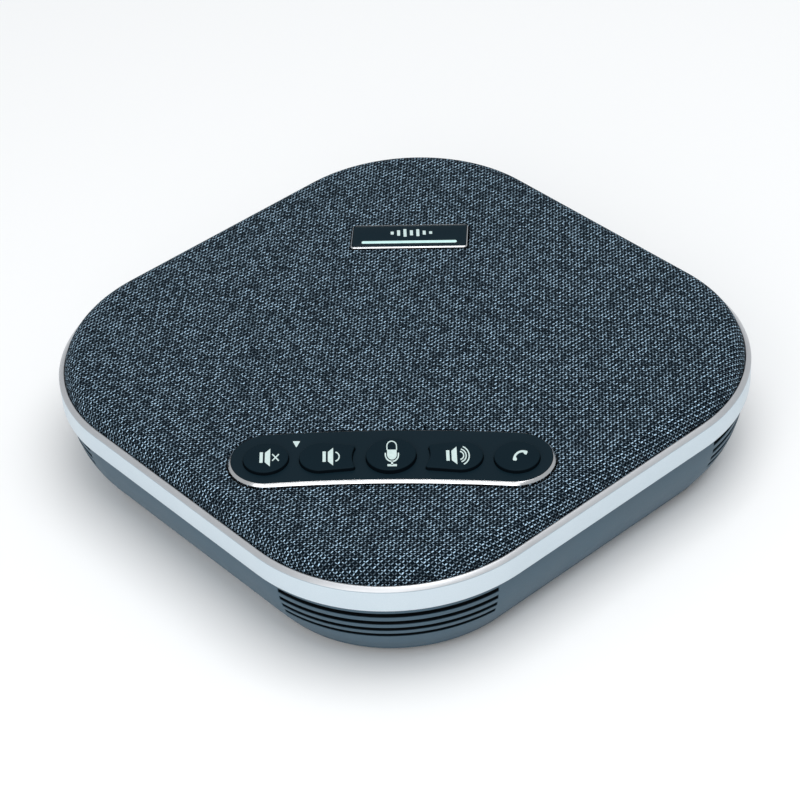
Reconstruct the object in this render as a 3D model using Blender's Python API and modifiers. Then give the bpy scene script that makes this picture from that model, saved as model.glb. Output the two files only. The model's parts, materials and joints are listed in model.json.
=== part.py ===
"""Conference speakerphone: a rounded-square tabletop unit with its corners on the X and Y axes.

The front corner, with the keys, points along -Y.  Z = 0 is the plane that the rubber foot rests on.
"""
import math

import bmesh
import bpy
from mathutils import Matrix, Vector

MM = 0.001
GAP = 0.3 * MM                       # clearance between pieces that touch
ARC_STEPS = 10                       # segments in each body corner
TURN_STEPS = 24                      # segments around a turned piece
PIN_STEPS = 12                       # segments around a small pin, post or bore
SCREW_STEPS = 16
MITRE_LIMIT = 0.5                    # sharpest mitre of an offset outline

# Directions
CORNER_NAMES = ("right", "back", "left", "front")
CORNERS = [number * math.pi / 2 for number in range(4)]
PORT_SIDE = math.radians(45)
BATTERY_SIDE = math.radians(225)

# Body outline
SIDE = 140 * MM                      # across opposite flats
CORNER_R = 40.5 * MM

# Heights of the outer stack
FOOT_PROUD = 1.1 * MM                # foot below the housing
HOUSING_H = 18.5 * MM
RING_H = 6.6 * MM
ROLL_R = 4.5 * MM                    # rolled edge of the fabric cover
COVER_PROUD = 4.4 * MM               # cover's edge plane above the ring's lip
DOME_RISE = 0.6 * MM

# Lower housing
HOUSING_WALL = 2.2 * MM
FLOOR_T = 2.4 * MM
RING_OVERHANG = 1.2 * MM             # ring's face beyond the housing's top
TAPER_DEPTH = 7.3 * MM               # how far the sides draw in towards the base
TAPER_POWER = 2.1
TAPER_LEVELS = 6
BASE_EDGE = 1.2 * MM                 # height of the rounded base edge
BASE_DRAW = 2.2 * MM                 # how far the rounded base edge draws in
BASE_ROUND = (0.35, 0.4)             # where the base edge's middle lies, as shares of its height and draw
POST_R = 2.5 * MM                    # posts under the main board

# Corner vents
VENT_COUNT = 4
VENT_H = 1.3 * MM
VENT_PITCH = 2.4 * MM
VENT_TOP_LAND = 1.2 * MM             # housing rim above the first slot
VENT_HALF_ANGLE = math.radians(38)
MESH_T = 0.5 * MM
MESH_LAP = 0.8 * MM                  # vent mesh beyond the slots
MESH_LAP_ANGLE = math.radians(3)

# Trim ring
LIP_WIDTH = 0.95 * MM
LIP_DROP = 0.75 * MM
LIP_ROUND = (0.35, 0.45)             # where the lip's slope bends, as shares of its width and drop
LIP_LAND = 0.3 * MM
RING_EDGE = 0.4 * MM                 # small bevel along the ring's lower edge
SHELF_DROP = 3.5 * MM                # lip down to the shelf that the grille plate stands on
SHELF_WIDTH = 3.2 * MM
SHELF_T = 1.8 * MM

# Cover and grille plate
FABRIC_T = 0.8 * MM
PLATE_T = 1.8 * MM
ROLL_STEPS = 4
DOME_RINGS = (0.68, 0.36)
SOUND_HOLE_R = 1.6 * MM
SOUND_HOLE_PITCH = 9 * MM
SOUND_HOLE_RINGS = 2

# Keypad: a lozenge bowed along a large arc
KEYPAD_SETBACK = 38.5 * MM           # front corner to the middle of the keypad
KEYPAD_LENGTH = 73.3 * MM
KEYPAD_DEPTH = 18.2 * MM
KEYPAD_BOW_R = 325 * MM
KEYPAD_LONG_STEPS = 6                # segments along each long side
KEYPAD_END_STEPS = 10
KEYPAD_PROUD = 0.5 * MM              # rim's top above the fabric
RIM_CHAMFER = 0.6 * MM
RIM_TOP = 0.1 * MM                   # flat top of the rim
RIM_DEPTH = 2.4 * MM
RIM_LEDGE = 0.9 * MM                 # ledge that the fascia stands on
RIM_LEDGE_T = 0.65 * MM
FASCIA_SUNK = 0.05 * MM

# Keys
KEY_CLEARANCE = 0.3 * MM
KEY_FLANGE = 0.6 * MM
KEY_FLANGE_T = 0.6 * MM
KEY_FILLET = 0.35 * MM
KEY_ROUND = 0.3                      # share of the fillet at its middle
KEY_PROUD = 0.9 * MM
MIC_KEY_PROUD = 1.1 * MM
KEY_TRAVEL = 0.3 * MM
SIDE_KEY_R = 5.1 * MM
SIDE_KEY_X = 28.0 * MM
SIDE_KEY_Y = -1.65 * MM              # from the keypad's middle
MIC_KEY_R = 5.6 * MM
MIC_KEY_Y = -0.95 * MM
VOLUME_KEY_X = 15.6 * MM             # centre of the volume key's round end
VOLUME_KEY_Y = -1.35 * MM
VOLUME_KEY_R = 4.9 * MM
VOLUME_TIP = 3.9 * MM                # half height of the volume key at its tips
VOLUME_INNER_R = 8.7 * MM            # hollow side, concentric with the microphone key
KEY_STEPS = 18
VOLUME_END_STEPS = 10
VOLUME_HOLLOW_STEPS = 6

# Switches and key board
SWITCH_W = 4.5 * MM
SWITCH_H = 1.3 * MM
PLUNGER_R = 1.2 * MM
PLUNGER_H = 0.65 * MM                # plunger above its switch at rest
PLUNGER_SEAT = 0.4 * MM              # plunger inside its switch at rest
BOARD_T = 1.2 * MM
KEY_BOARD_INSET = 1.0 * MM

# Badge
BADGE_SETBACK = 41.1 * MM            # back corner to the badge's middle
BADGE_W = 29.0 * MM
BADGE_D = 9.9 * MM
BADGE_R = 0.9 * MM
BADGE_PROUD = 0.35 * MM
BADGE_RIM_W = 0.4 * MM
BADGE_RIM_H = 1.5 * MM
BADGE_T = 1.1 * MM
LIGHT_W = 23.7 * MM
LIGHT_D = 1.1 * MM
LIGHT_Y = -2.4 * MM                  # from the badge's middle
LIGHT_H = 4.2 * MM
BADGE_BOARD_MARGIN = 1.5 * MM

# Foot and fasteners
FOOT_INSET = 15 * MM
FOOT_WIDTH = 10 * MM
FOOT_GROOVE = 0.6 * MM
FOOT_EDGE = 0.3 * MM
SCREW_HEAD_R = 2.5 * MM
SCREW_HEAD_H = 1.6 * MM
SCREW_SHANK_R = 1.2 * MM
SCREW_LENGTH = 9 * MM
PAD_R = 4.6 * MM                     # thickened floor around each screw
BOSS_R = 3.4 * MM
BOSS_ENGAGE = 8 * MM                 # depth of the blind hole in each boss

# Loudspeaker, heights measured down from the underside of the grille plate
CHAMBER_R = 33 * MM
CHAMBER_WALL = 1.8 * MM
FRAME_DROP = 5.0 * MM                # plate down to the top of the basket's flange
FRAME_T = 1.2 * MM
FRAME_R = 31 * MM
FRAME_BORE = 26.4 * MM
FRAME_DEPTH = 7.9 * MM               # flange top down to the foot of the basket
FRAME_FOOT_R = 16.2 * MM
CONE_R = 23.6 * MM
CONE_NECK_R = 7.7 * MM
CONE_DEPTH = 5.1 * MM
CONE_T = 0.6 * MM
SURROUND_R = 28 * MM
SURROUND_T = 0.5 * MM
SURROUND_ROLL = 1.6 * MM
GASKET_W = 2.6 * MM
COIL_R = 6.6 * MM
COIL_T = 0.7 * MM
COIL_H = 7.2 * MM
POLE_GAP = 0.4 * MM
TOP_PLATE_T = 2.0 * MM
TOP_PLATE_R = 14 * MM
MAGNET_R = 15.5 * MM
MAGNET_BORE = 9.5 * MM
MAGNET_T = 4.0 * MM
YOKE_T = 2.0 * MM
SPIDER_T = 0.4 * MM
SPIDER_WAVE = 0.3 * MM
SPIDER_STEPS = 8
CAP_T = 0.5 * MM
CAP_R = 9.0 * MM
CAP_RISE = 1.8 * MM
BASKET_WINDOWS = 6
WINDOW_D = 6 * MM
WINDOW_W = 9 * MM

# Electronics
MAIN_W = 52 * MM
MAIN_D = 22 * MM
MAIN_LIFT = 1.0 * MM                 # board above the housing's floor
WALL_MARGIN = 2.4 * MM               # board and battery back from the inner wall
SHIELD_W = 18 * MM
SHIELD_D = 12 * MM
SHIELD_H = 2.5 * MM
SHIELD_ASIDE = 14.4 * MM             # from the board's middle, clear of the port
USB_W = 8.9 * MM
USB_H = 3.2 * MM
USB_WALL = 0.3 * MM
USB_DEPTH = 7.3 * MM
USB_SET_IN = 1.0 * MM                # receptacle's mouth behind the outer wall
USB_ROUND = 0.48                     # corner radius as a share of the receptacle's height
PORT_CUT = 5.5 * MM                  # half length of the tool that opens the wall for the port
TONGUE_W = 6.7 * MM
TONGUE_T = 0.7 * MM
BATTERY_W = 50 * MM
BATTERY_D = 22 * MM
BATTERY_H = 11 * MM
BATTERY_EDGE = 2 * MM
MIC_W = 12 * MM
MIC_H = 8 * MM
MIC_T = 2.4 * MM
MIC_SET_BACK = 3.0 * MM              # microphone behind the vent mesh
LEAD_R = 0.8 * MM
LEAD_CLEARANCE = 10 * MM             # leads out from the chamber
LEAD_STUB = 3 * MM                   # straight end of a lead beyond the piece that it serves
LEAD_SWING = 3 * MM                  # how far the battery lead swings out past the piece that it leaves
LEAD_STEPS = 3                       # curve points between the points of a lead's route
CABLE_SHARE = 0.35                   # where the keypad cable meets the keypad and the board, along their length
CABLE_DROPS = (2 * MM, 5 * MM)       # keypad cable below the keypad as it leaves
CABLE_RISE = 6 * MM                  # keypad cable above the board as it arrives

# Places worked out from the sizes above
CORNER_C = (SIDE / 2 - CORNER_R) * math.sqrt(2)   # origin to a corner arc's centre
CORNER_REACH = CORNER_C + CORNER_R
HOUSING_Z0 = FOOT_PROUD
HOUSING_Z1 = HOUSING_Z0 + HOUSING_H
FLOOR_Z = HOUSING_Z0 + FLOOR_T
RING_Z0 = HOUSING_Z1 + GAP
LIP_Z = RING_Z0 + RING_H
SHELF_Z = LIP_Z - SHELF_DROP
COVER_Z = LIP_Z + COVER_PROUD
PLATE_Z1 = COVER_Z - FABRIC_T - GAP
PLATE_Z0 = PLATE_Z1 - PLATE_T
COVER_INSET = LIP_WIDTH + LIP_LAND + GAP
PLATE_INSET = COVER_INSET + FABRIC_T + GAP
KEYPAD_Y = KEYPAD_SETBACK - CORNER_REACH
BADGE_Y = CORNER_REACH - BADGE_SETBACK
SCREW_INSET = FOOT_INSET + FOOT_WIDTH / 2
SCREW_REACH = CORNER_REACH - SCREW_INSET
SCREW_SEAT_Z = HOUSING_Z0 + FOOT_GROOVE + GAP + SCREW_HEAD_H
PAD_Z = SCREW_SEAT_Z + GAP + SCREW_HEAD_H
SCREW_SPOTS = [(SCREW_REACH * math.cos(facing), SCREW_REACH * math.sin(facing)) for facing in CORNERS]


def crown(scale):
    """Height of the cover's crown above its flat edge, at a share of the way out to the edge."""
    return DOME_RISE * (1 - scale ** 2)


RIM_Z = COVER_Z + crown(KEYPAD_Y / CORNER_REACH) + KEYPAD_PROUD
FASCIA_Z1 = RIM_Z - FASCIA_SUNK
FASCIA_Z0 = RIM_Z - RIM_DEPTH + RIM_LEDGE_T + GAP
KEY_FLANGE_Z1 = FASCIA_Z0 - GAP
KEY_FLANGE_Z0 = KEY_FLANGE_Z1 - KEY_FLANGE_T
PLUNGER_Z1 = KEY_FLANGE_Z0 - GAP
SWITCH_Z1 = PLUNGER_Z1 - PLUNGER_H
SWITCH_Z0 = SWITCH_Z1 - SWITCH_H
KEY_BOARD_Z1 = SWITCH_Z0 - GAP
BADGE_Z = COVER_Z + crown(BADGE_Y / CORNER_REACH) + BADGE_PROUD
FRAME_Z = PLATE_Z0 - FRAME_DROP
CHAMBER_Z1 = FRAME_Z - FRAME_T - GAP
CHAMBER_Z0 = FLOOR_Z + GAP
BASKET_Z0 = FRAME_Z - FRAME_DEPTH
COIL_OUTER_R = COIL_R + COIL_T
MAIN_Z0 = FLOOR_Z + MAIN_LIFT
MAIN_Z1 = MAIN_Z0 + BOARD_T
USB_Z = MAIN_Z1 + GAP + USB_H / 2
BATTERY_Z0 = FLOOR_Z + GAP


# Scene helpers

def clear_scene():
    """Remove every object, so that the script can run again."""
    for old in list(bpy.data.objects):
        bpy.data.objects.remove(old, do_unlink=True)


def new_collection(name):
    """Return a collection linked to the scene."""
    group = bpy.data.collections.new(name)
    bpy.context.scene.collection.children.link(group)
    return group


def material(name, colour, roughness, metallic=0.0):
    """Return a Principled material."""
    made = bpy.data.materials.new(name)
    made.use_nodes = True
    shader = made.node_tree.nodes["Principled BSDF"]
    shader.inputs["Base Color"].default_value = (*colour, 1.0)
    shader.inputs["Roughness"].default_value = roughness
    shader.inputs["Metallic"].default_value = metallic
    return made


def place(mesh_data, name, look):
    """Put mesh data in the scene as a named part."""
    part = bpy.data.objects.new(name, mesh_data)
    PARTS.objects.link(part)
    if look:
        part.data.materials.clear()
        part.data.materials.append(look)
    return part


def shade_round(part, angle=math.radians(35)):
    """Shade a part smooth except along its real edges."""
    part.data.shade_smooth()
    part.data.set_sharp_from_angle(angle=angle)
    return part


def to_mesh(source, name, look):
    """Turn a curve or a modified object into a plain welded mesh part."""
    bpy.context.view_layer.update()
    evaluated = source.evaluated_get(bpy.context.evaluated_depsgraph_get())
    data = bpy.data.meshes.new_from_object(evaluated)
    data.transform(source.matrix_world)
    shape = bmesh.new()
    shape.from_mesh(data)
    bmesh.ops.remove_doubles(shape, verts=shape.verts, dist=0.000001)
    bmesh.ops.recalc_face_normals(shape, faces=shape.faces)
    shape.to_mesh(data)
    shape.free()
    bpy.data.objects.remove(source, do_unlink=True)
    return place(data, name, look)


def cutter(tool):
    """Mark a tool as a cutter that is neither shown nor built."""
    for group in list(tool.users_collection):
        group.objects.unlink(tool)
    CUTTERS.objects.link(tool)
    tool.hide_render = True
    tool.display_type = "WIRE"
    return tool


def boolean(part, tool, operation="DIFFERENCE"):
    """Cut a part with a tool, or join the tool to it."""
    cutter(tool)
    step = part.modifiers.new(operation.lower(), "BOOLEAN")
    step.operation = operation
    step.solver = "EXACT"
    step.object = tool
    return part


# Outlines, as lists of (x, y) running anticlockwise

def body_outline(inset, scale=1.0):
    """Rounded square with its corners on the axes, drawn in by an inset."""
    points = []
    for corner in range(4):
        facing = corner * math.pi / 2
        centre = Vector((math.cos(facing), math.sin(facing))) * CORNER_C
        for step in range(ARC_STEPS + 1):
            turn = facing + math.pi / 2 * (step / ARC_STEPS - 0.5)
            points.append((centre + Vector((math.cos(turn), math.sin(turn))) * (CORNER_R - inset)) * scale)
    return points


def circle(radius, centre=(0.0, 0.0), steps=KEY_STEPS):
    """Circle as a list of points."""
    turns = [2 * math.pi * step / steps for step in range(steps)]
    return [Vector((centre[0] + radius * math.cos(t), centre[1] + radius * math.sin(t))) for t in turns]


def arc(radius, centre, start, end, steps):
    """Arc from one angle to another as a list of points."""
    turns = [start + (end - start) * step / steps for step in range(steps + 1)]
    return [Vector((centre[0] + radius * math.cos(t), centre[1] + radius * math.sin(t))) for t in turns]


def keypad_outline(grow=0.0):
    """Bowed lozenge of the keypad, grown outwards by an amount."""
    reach = KEYPAD_DEPTH / 2 + grow
    lean = math.asin((KEYPAD_LENGTH - KEYPAD_DEPTH) / 2 / KEYPAD_BOW_R)
    bow = (0.0, KEYPAD_Y - KEYPAD_BOW_R)
    up = math.pi / 2
    right = (KEYPAD_BOW_R * math.sin(lean), bow[1] + KEYPAD_BOW_R * math.cos(lean))
    left = (-right[0], right[1])
    far = arc(KEYPAD_BOW_R + reach, bow, up - lean, up + lean, KEYPAD_LONG_STEPS)
    near = arc(KEYPAD_BOW_R - reach, bow, up + lean, up - lean, KEYPAD_LONG_STEPS)
    left_end = arc(reach, left, up + lean, up + lean + math.pi, KEYPAD_END_STEPS)[1:-1]
    right_end = arc(reach, right, -up - lean, up - lean, KEYPAD_END_STEPS)[1:-1]
    return far + left_end + near + right_end


def volume_outline(side):
    """Volume key: round outer end, hollow side around the microphone key."""
    middle = Vector((side * VOLUME_KEY_X, KEYPAD_Y + VOLUME_KEY_Y))
    mic = Vector((0.0, KEYPAD_Y + MIC_KEY_Y))
    offset = VOLUME_KEY_Y - MIC_KEY_Y
    rise = math.asin((VOLUME_TIP + offset) / VOLUME_INNER_R)
    fall = math.asin((VOLUME_TIP - offset) / VOLUME_INNER_R)
    if side < 0:
        outer = arc(VOLUME_KEY_R, middle, math.pi / 2, 3 * math.pi / 2, VOLUME_END_STEPS)
        hollow = arc(VOLUME_INNER_R, mic, math.pi + fall, math.pi - rise, VOLUME_HOLLOW_STEPS)
        return outer + hollow
    outer = arc(VOLUME_KEY_R, middle, -math.pi / 2, math.pi / 2, VOLUME_END_STEPS)
    hollow = arc(VOLUME_INNER_R, mic, rise, -fall, VOLUME_HOLLOW_STEPS)
    return outer + hollow


def rounded_rectangle(width, depth, radius, centre=(0.0, 0.0), steps=4):
    """Rectangle with rounded corners."""
    points = []
    for number, (sx, sy) in enumerate(((1, 1), (-1, 1), (-1, -1), (1, -1))):
        middle = (centre[0] + sx * (width / 2 - radius), centre[1] + sy * (depth / 2 - radius))
        start = number * math.pi / 2
        points += arc(radius, middle, start, start + math.pi / 2, steps)
    return points


def grown(outline, amount):
    """Offset an anticlockwise outline outwards, mitred at its corners."""
    moved = []
    count = len(outline)
    for number, point in enumerate(outline):
        before = (point - outline[number - 1]).normalized()
        after = (outline[(number + 1) % count] - point).normalized()
        normal = Vector((before.y + after.y, -before.x - after.x)).normalized()
        stretch = max(MITRE_LIMIT, normal.dot(Vector((after.y, -after.x))))
        moved.append(point + normal * (amount / stretch))
    return moved


# Solid builders

def loft(name, sections, look, closed=False):
    """Skin matching outlines into a solid; closed joins the last outline to the first."""
    shape = bmesh.new()
    rings = [[shape.verts.new((p[0], p[1], height)) for p in outline] for outline, height in sections]
    count = len(rings[0])
    pairs = list(zip(rings, rings[1:]))
    if closed:
        pairs.append((rings[-1], rings[0]))
    for low, high in pairs:
        for this in range(count):
            following = (this + 1) % count
            shape.faces.new((low[this], low[following], high[following], high[this]))
    if not closed:
        shape.faces.new(list(reversed(rings[0])))
        shape.faces.new(rings[-1])
    bmesh.ops.recalc_face_normals(shape, faces=shape.faces)
    data = bpy.data.meshes.new(name)
    shape.to_mesh(data)
    shape.free()
    return shade_round(place(data, name, look))


def flat_plate(name, outlines, bottom, top, look):
    """Plate cut to an outline, with any further outlines as holes."""
    curve = bpy.data.curves.new(name + "_outline", "CURVE")
    curve.dimensions = "2D"
    curve.fill_mode = "BOTH"
    curve.extrude = (top - bottom) / 2
    for outline in outlines:
        spline = curve.splines.new("POLY")
        spline.points.add(len(outline) - 1)
        for point, place_at in zip(spline.points, outline):
            point.co = (place_at[0], place_at[1], 0, 1)
        spline.use_cyclic_u = True
    drawn = bpy.data.objects.new(name + "_outline", curve)
    drawn.location.z = (top + bottom) / 2
    PARTS.objects.link(drawn)
    return to_mesh(drawn, name, look)


def turned(name, profile, look, steps=TURN_STEPS, centre=(0.0, 0.0), full_axis=False):
    """Turn a closed profile of (radius, height), or one that ends on the axis."""
    data = bpy.data.meshes.new(name)
    count = len(profile)
    edges = [(this, this + 1) for this in range(count - 1)]
    if not full_axis:
        edges.append((count - 1, 0))
    data.from_pydata([(r, 0, z) for r, z in profile], edges, [])
    part = place(data, name, None)
    spin = part.modifiers.new("turn", "SCREW")
    spin.steps = steps
    spin.render_steps = steps
    spin.use_merge_vertices = True
    spin.merge_threshold = 0.00001
    part.location = (centre[0], centre[1], 0)
    return shade_round(to_mesh(part, name, look))


def cylinder(name, radius, bottom, top, look, centre=(0.0, 0.0), steps=16):
    """Upright cylinder."""
    shape = bmesh.new()
    middle = Matrix.Translation((centre[0], centre[1], (bottom + top) / 2))
    bmesh.ops.create_cone(shape, cap_ends=True, segments=steps, radius1=radius, radius2=radius,
                          depth=top - bottom, matrix=middle)
    data = bpy.data.meshes.new(name)
    shape.to_mesh(data)
    shape.free()
    return shade_round(place(data, name, look))


def block(name, size, centre, look, turn=0.0, edge=0.0):
    """Box with optional rounded edges, turned about Z."""
    shape = bmesh.new()
    bmesh.ops.create_cube(shape, size=1.0, matrix=Matrix.Diagonal((*size, 1.0)))
    data = bpy.data.meshes.new(name)
    shape.to_mesh(data)
    shape.free()
    part = place(data, name, look)
    part.location = centre
    part.rotation_euler.z = turn
    if edge:
        round_off = part.modifiers.new("edge", "BEVEL")
        round_off.width = edge
        round_off.segments = 2
    return part


def lead(name, route):
    """Round insulated lead along a smooth route through a few points."""
    curve = bpy.data.curves.new(name + "_route", "CURVE")
    curve.dimensions = "3D"
    curve.bevel_depth = LEAD_R
    curve.bevel_resolution = 1
    curve.use_fill_caps = True
    spline = curve.splines.new("POLY")
    points = smooth_route([Vector(p) for p in route], LEAD_STEPS)
    spline.points.add(len(points) - 1)
    for point, place_at in zip(spline.points, points):
        point.co = (*place_at, 1)
    drawn = bpy.data.objects.new(name + "_route", curve)
    PARTS.objects.link(drawn)
    return shade_round(to_mesh(drawn, name, LEAD_LOOK))


def smooth_route(points, steps):
    """Catmull-Rom points through a route."""
    ends = [points[0] * 2 - points[1]] + points + [points[-1] * 2 - points[-2]]
    route = []
    for before, start, end, after in zip(ends, ends[1:], ends[2:], ends[3:]):
        for step in range(steps):
            t = step / steps
            route.append(0.5 * (2 * start + (end - before) * t
                                + (2 * before - 5 * start + 4 * end - after) * t ** 2
                                + (3 * start - before - 3 * end + after) * t ** 3))
    return route + [points[-1]]


# Outer shells

def housing_inset(height):
    """How far the housing's outer face is drawn in at a height."""
    down = max(0.0, HOUSING_Z1 - height) / HOUSING_H
    return RING_OVERHANG + TAPER_DEPTH * down ** TAPER_POWER


def vent_top(number):
    """Upper edge of a vent slot, counted down from the rim."""
    return HOUSING_Z1 - VENT_TOP_LAND - number * VENT_PITCH


def corner_band(facing, half_angle, inner, outer):
    """Sector of a ring around one corner's centre."""
    centre = (CORNER_C * math.cos(facing), CORNER_C * math.sin(facing))
    rim = arc(outer, centre, facing - half_angle, facing + half_angle, ARC_STEPS)
    bore = arc(inner, centre, facing + half_angle, facing - half_angle, ARC_STEPS)
    return rim + bore


def make_lower_housing():
    """Tapered bowl with corner vents, screw pads, foot groove and port."""
    edge_top = HOUSING_Z0 + BASE_EDGE
    levels = [edge_top + (HOUSING_Z1 - edge_top) * step / TAPER_LEVELS for step in range(TAPER_LEVELS + 1)]
    base = housing_inset(edge_top)
    sections = [(body_outline(base + BASE_DRAW), HOUSING_Z0),
                (body_outline(base + BASE_DRAW * BASE_ROUND[1]), HOUSING_Z0 + BASE_EDGE * BASE_ROUND[0])]
    sections += [(body_outline(housing_inset(z)), z) for z in levels]
    inner = [z for z in reversed(levels) if z > FLOOR_Z + BASE_EDGE]
    sections += [(body_outline(housing_inset(z) + HOUSING_WALL), z) for z in inner]
    sections.append((body_outline(base + HOUSING_WALL + BASE_DRAW), FLOOR_Z))
    housing = loft("lower_housing", sections, HOUSING_LOOK)
    for spot in SCREW_SPOTS:
        pad = cylinder("screw_pad", PAD_R, FLOOR_Z - FLOOR_T / 2, PAD_Z, None, spot)
        boolean(housing, pad, "UNION")
    for spot in board_posts():
        post = cylinder("board_post", POST_R, FLOOR_Z - FLOOR_T / 2, MAIN_Z0 - GAP, None, spot,
                        PIN_STEPS)
        boolean(housing, post, "UNION")
    groove = loft("foot_groove", [
        (body_outline(FOOT_INSET - GAP), HOUSING_Z0 - FOOT_GROOVE),
        (body_outline(FOOT_INSET - GAP), HOUSING_Z0 + FOOT_GROOVE),
        (body_outline(FOOT_INSET + FOOT_WIDTH + GAP), HOUSING_Z0 + FOOT_GROOVE),
        (body_outline(FOOT_INSET + FOOT_WIDTH + GAP), HOUSING_Z0 - FOOT_GROOVE)], None, closed=True)
    boolean(housing, groove)
    for spot in SCREW_SPOTS:
        boolean(housing, cylinder("screw_head_hole", SCREW_HEAD_R + GAP, HOUSING_Z0 - FLOOR_T,
                                  SCREW_SEAT_Z + GAP, None, spot))
        boolean(housing, cylinder("screw_shank_hole", SCREW_SHANK_R + GAP, HOUSING_Z0, PAD_Z + FLOOR_T,
                                  None, spot, PIN_STEPS))
    slot_reach = HOUSING_WALL + RING_OVERHANG + TAPER_DEPTH
    for facing in CORNERS:
        for number in range(VENT_COUNT):
            top = vent_top(number)
            band = corner_band(facing, VENT_HALF_ANGLE, CORNER_R - slot_reach, CORNER_R + HOUSING_WALL)
            boolean(housing, flat_plate("vent_slot", [band], top - VENT_H, top, None))
    boolean(housing, port_cutter())
    return housing


def make_vent_meshes():
    """Dark mesh strip behind the slots of each corner."""
    low = vent_top(VENT_COUNT - 1) - VENT_H - MESH_LAP
    high = min(vent_top(0) + MESH_LAP, HOUSING_Z1 - GAP)
    for name, facing in zip(CORNER_NAMES, CORNERS):
        centre = Vector((math.cos(facing), math.sin(facing))) * CORNER_C
        shape = bmesh.new()
        bmesh.ops.create_grid(shape, x_segments=ARC_STEPS + 1, y_segments=3, size=1.0)
        for vert in shape.verts:
            turn = facing + vert.co.x * (VENT_HALF_ANGLE + MESH_LAP_ANGLE)
            height = low + (high - low) * (vert.co.y + 1) / 2
            reach = CORNER_R - housing_inset(height) - HOUSING_WALL - GAP - MESH_T / 2
            vert.co = (centre.x + reach * math.cos(turn), centre.y + reach * math.sin(turn), height)
        data = bpy.data.meshes.new("vent_mesh_" + name)
        shape.to_mesh(data)
        shape.free()
        strip = shade_round(place(data, "vent_mesh_" + name, MESH_LOOK))
        thicken = strip.modifiers.new("thickness", "SOLIDIFY")
        thicken.thickness = MESH_T
        thicken.offset = 0.0


def make_trim_ring():
    """Satin ring with a sloped lip and an inner shelf."""
    inner = LIP_WIDTH + LIP_LAND
    sections = [
        (body_outline(RING_EDGE), RING_Z0),
        (body_outline(0.0), RING_Z0 + RING_EDGE),
        (body_outline(0.0), LIP_Z - LIP_DROP),
        (body_outline(LIP_WIDTH * LIP_ROUND[0]), LIP_Z - LIP_DROP * LIP_ROUND[1]),
        (body_outline(LIP_WIDTH), LIP_Z),
        (body_outline(inner), LIP_Z),
        (body_outline(inner), SHELF_Z),
        (body_outline(inner + SHELF_WIDTH), SHELF_Z),
        (body_outline(inner + SHELF_WIDTH), SHELF_Z - SHELF_T),
        (body_outline(RING_OVERHANG + HOUSING_WALL), RING_Z0)]
    return loft("trim_ring", sections, RING_LOOK, closed=True)


def crowned_shell(name, inset, thickness, look):
    """Shell with an upright skirt, a rolled edge and a slightly crowned top."""
    roll_z = COVER_Z - ROLL_R
    roll_inset = COVER_INSET + ROLL_R

    def skin(radius):
        rows = [(body_outline(roll_inset - radius), SHELF_Z + GAP)]
        for step in range(ROLL_STEPS + 1):
            turn = math.pi / 2 * step / ROLL_STEPS
            rows.append((body_outline(roll_inset - radius * math.cos(turn)),
                         roll_z + radius * math.sin(turn)))
        for scale in DOME_RINGS:
            rows.append((body_outline(roll_inset, scale), roll_z + radius + crown(scale)))
        return rows

    outer_r = ROLL_R + COVER_INSET - inset
    return loft(name, list(reversed(skin(outer_r - thickness))) + skin(outer_r), look)


def keypad_cutter():
    """Opening for the keypad's rim, through the cover and the plate."""
    return flat_plate("keypad_opening", [keypad_outline(GAP)], PLATE_Z0 - PLATE_T, RIM_Z + PLATE_T, None)


def badge_cutter():
    """Opening for the badge, through the cover and the plate."""
    opening = rounded_rectangle(BADGE_W + 2 * GAP, BADGE_D + 2 * GAP, BADGE_R + GAP, (0, BADGE_Y))
    return flat_plate("badge_opening", [opening], PLATE_Z0 - PLATE_T, BADGE_Z + PLATE_T, None)


def make_fabric_cover():
    """Fabric wrapped over the grille plate, open at the keypad and the badge."""
    cover = crowned_shell("fabric_cover", COVER_INSET, FABRIC_T, FABRIC_LOOK)
    boolean(cover, keypad_cutter())
    boolean(cover, badge_cutter())


def make_grille_plate():
    """Perforated plate under the fabric, with a boss for each housing screw."""
    plate = crowned_shell("grille_plate", PLATE_INSET, PLATE_T, FRAME_LOOK)
    for spot in SCREW_SPOTS:
        boolean(plate, cylinder("boss", BOSS_R, PAD_Z + GAP, PLATE_Z0 + PLATE_T / 2, None, spot), "UNION")
        boolean(plate, cylinder("boss_bore", SCREW_SHANK_R + GAP, PAD_Z, PAD_Z + BOSS_ENGAGE, None, spot,
                                PIN_STEPS))
    boolean(plate, keypad_cutter())
    boolean(plate, badge_cutter())
    for ring in range(SOUND_HOLE_RINGS + 1):
        for step in range(max(1, 6 * ring)):
            turn = 2 * math.pi * step / max(1, 6 * ring)
            reach = ring * SOUND_HOLE_PITCH
            spot = (reach * math.cos(turn), reach * math.sin(turn))
            hole = cylinder("sound_hole", SOUND_HOLE_R, PLATE_Z0 - PLATE_T, COVER_Z + PLATE_T, None, spot, 6)
            boolean(plate, hole)


# Keypad

def make_keypad_rim():
    """Chamfered chrome rim with a ledge under the fascia."""
    top_in = -(RIM_CHAMFER + RIM_TOP)
    ledge_in = top_in - RIM_LEDGE
    foot = RIM_Z - RIM_DEPTH
    loft("keypad_rim", [
        (keypad_outline(0.0), foot),
        (keypad_outline(0.0), RIM_Z - RIM_CHAMFER),
        (keypad_outline(-RIM_CHAMFER), RIM_Z),
        (keypad_outline(top_in), RIM_Z),
        (keypad_outline(top_in), foot + RIM_LEDGE_T),
        (keypad_outline(ledge_in), foot + RIM_LEDGE_T),
        (keypad_outline(ledge_in), foot)], CHROME_LOOK, closed=True)


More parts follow.
